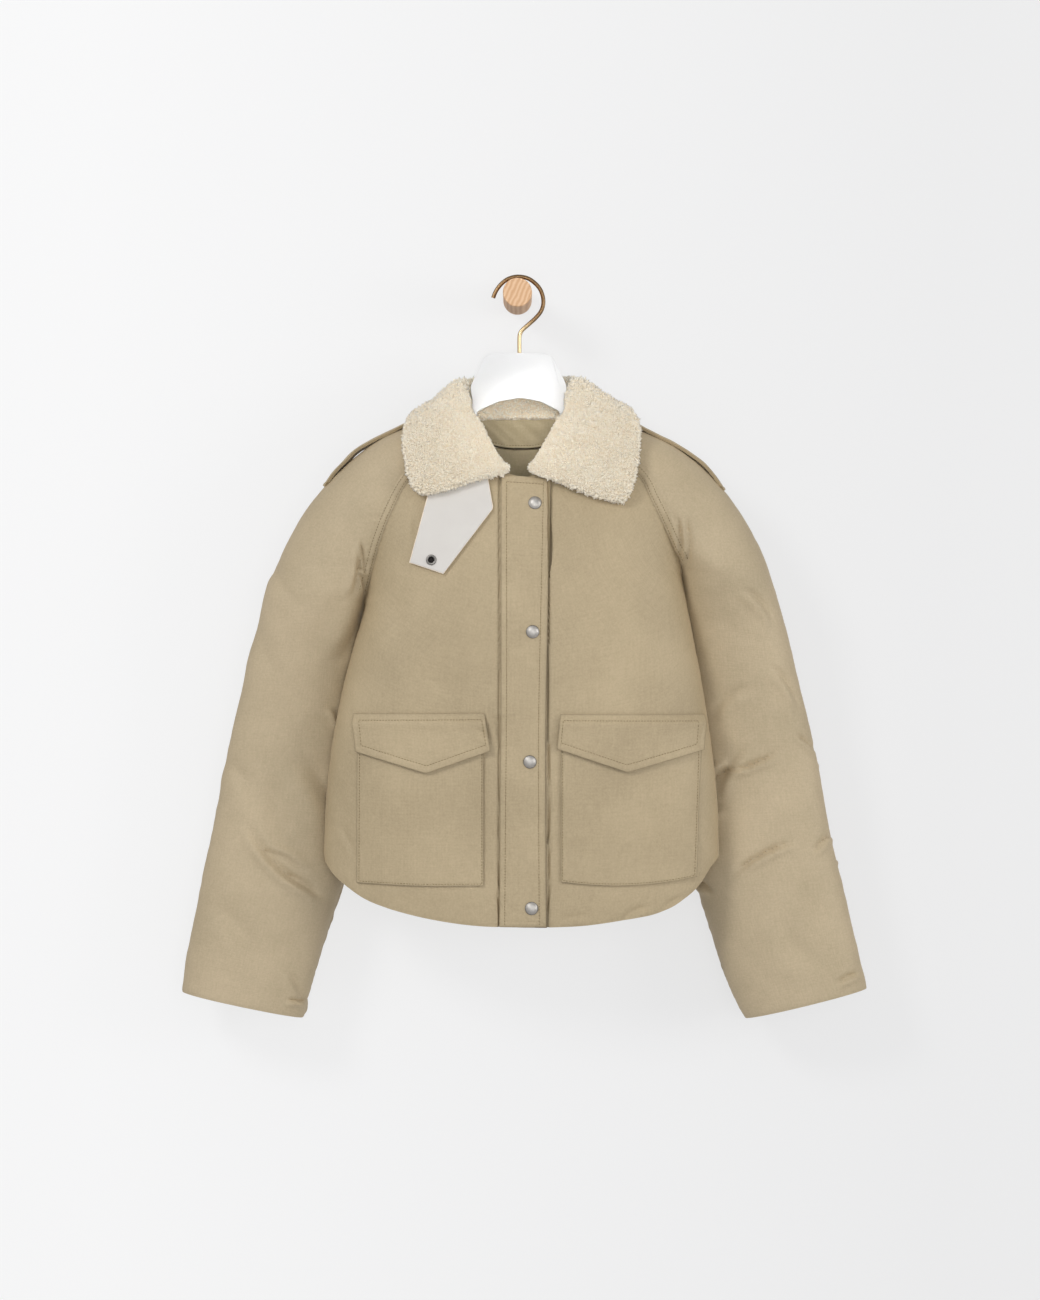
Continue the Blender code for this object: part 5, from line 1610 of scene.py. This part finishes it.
# %% hanger plate and arms
PLATE_TOP = ((-72, -155), (-55, -150), (-51.6, -124), (-54.0, -107), (-49.8, -98), (-38.8, -73.5), (-34, -70),
             (-27.5, -68.4), (32, -68.4), (37, -70.4), (41, -73.5), (54.3, -101), (56.5, -107), (54, -124),
             (60, -150), (78, -155))
ARM_TIP_RIGHT = ((210, -216), (217, -226), (219, -236), (212, -243), (202, -240))
HANGER_LOW = ((160, -207), (112, -184), (72, -176), (55, -163), (48.3, -135.0), (26, -123.6), (3.1, -119.6),
              (-21, -123.6), (-46.1, -135.0), (-50, -163), (-66, -175), (-102, -181), (-148, -201))
ARM_TIP_LEFT = ((-190, -234), (-200, -238), (-207, -232), (-205, -222), (-198, -213))
BOARD = 9.0


def seat_line(stations):
    """Top of a hanger arm, just under the shoulder's inner face."""
    made = []
    for k in (1, 2, 3, 4):
        row = along(stations, UNDERARM * k / 9 / (len(stations) - 1))
        inner, outer = Vector((row[0], row[1])), Vector((row[2], row[3]))
        made.append(tuple(outer + (inner - outer).normalized() * (WALL + 0.6)))
    return made


outline = [*reversed(seat_line(SLEEVE_LEFT)), *PLATE_TOP, *seat_line(SLEEVE_RIGHT), *ARM_TIP_RIGHT,
           *HANGER_LOW, *ARM_TIP_LEFT]
form = bmesh.new()
form.faces.new([form.verts.new((x * MM, (HANG_Y - BOARD / 2) * MM, z * MM)) for x, z in outline])
corners = [v for v in form.verts if -0.060 < v.co.x < 0.060 and v.co.z > -0.16]
bmesh.ops.bevel(form, geom=corners, offset=2.6 * MM, segments=3, profile=0.5, affect="VERTICES", material=-1)
pushed = bmesh.ops.extrude_face_region(form, geom=list(form.faces))
moved = [v for v in pushed["geom"] if isinstance(v, bmesh.types.BMVert)]
bmesh.ops.translate(form, verts=moved, vec=(0, BOARD * MM, 0))
bmesh.ops.recalc_face_normals(form, faces=form.faces)
rims = [e for e in form.edges if abs(e.verts[0].co.y - e.verts[1].co.y) < 1e-6]
bmesh.ops.bevel(form, geom=rims, offset=1.5 * MM, segments=4, profile=0.5, affect="EDGES", material=-1,
                clamp_overlap=True)
hanger = finished(form, "lacquered_hanger", (LACQUER,), ("hanger",), 40)
print("hanger", triangles(hanger), "triangles")

# %% wire hook
HOOK = ((-27.9, -4.6), (-25.9, 0.9), (-22.6, 6.6), (-17.4, 12.6), (-9.8, 17.7), (0.3, 19.9), (11.0, 18.2),
        (19.4, 13.0), (26.0, 5.4), (29.3, -3.9), (29.5, -12.6), (26.7, -20.5), (20.6, -28.0), (12.9, -35.0),
        (6.2, -40.9), (3.2, -45.4), (2.2, -51.0), (2.2, -67.8))
WIRE_HALF = 2.4
bend = bpy.data.curves.new("bend", "CURVE")
bend.dimensions = "3D"
bend.bevel_depth, bend.bevel_resolution, bend.use_fill_caps = WIRE_HALF * MM, 5, True
wire = bend.splines.new("POLY")
route = by_length([(x, HANG_Y, z) for x, z in HOOK], steps(150))
wire.points.add(len(route) - 1)
for point, spot in zip(wire.points, route):
    point.co = (*(spot * MM), 1.0)
carrier = placed("bend", bend)
form = bmesh.new()
form.from_mesh(settled(carrier))
bpy.data.objects.remove(carrier, do_unlink=True)
bmesh.ops.remove_doubles(form, verts=form.verts, dist=1e-6)
bmesh.ops.recalc_face_normals(form, faces=form.faces)
hook = finished(form, "bronze_wire_hook", (BRONZE,), ("hanger_hook",), 40)
print("hook", triangles(hook), "triangles")

# %% wooden peg
for material_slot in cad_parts["wall_peg"].material_slots:
    material_slot.link = "OBJECT"
    material_slot.material = WOOD
print("the peg is", WOOD.name)

# %% [markdown]
# ## Curls over the collar
# The curls come last because there are many: two leaves and the back of the neck, each
# one mesh. The leaves have curls where the pile is seen and skip their hidden underside.

# %% scatter the curls
NECK_MIDDLE = 0.003


def leaf(at, normal):
    """True for what is seen of the two leaves."""
    return at.y < BACK_PART and normal.y < 0.5


scatter_curls("collar_curls_left", collar_core, 9500, 11, lambda at, n: at.x < NECK_MIDDLE and leaf(at, n))
scatter_curls("collar_curls_right", collar_core, 10000, 12, lambda at, n: at.x >= NECK_MIDDLE and leaf(at, n))
# The back's curls are paler: painted light, against the shade that the hanger plate and the leaves cast on
# the back of the neck.
scatter_curls("collar_curls_back", collar_core, 6800, 13, lambda at, n: at.y > BACK_PART, 0.85)

# %% [markdown]
# ## The size
# The dressed jacket is measured against the box of the imported solids.

# %% sizes and finish
low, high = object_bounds()
grown = [[round((a - b) / MM, 1) for a, b in zip(*ends)] for ends in ((low, cad_low), (high, cad_high))]
print("grown by", *grown, "mm")
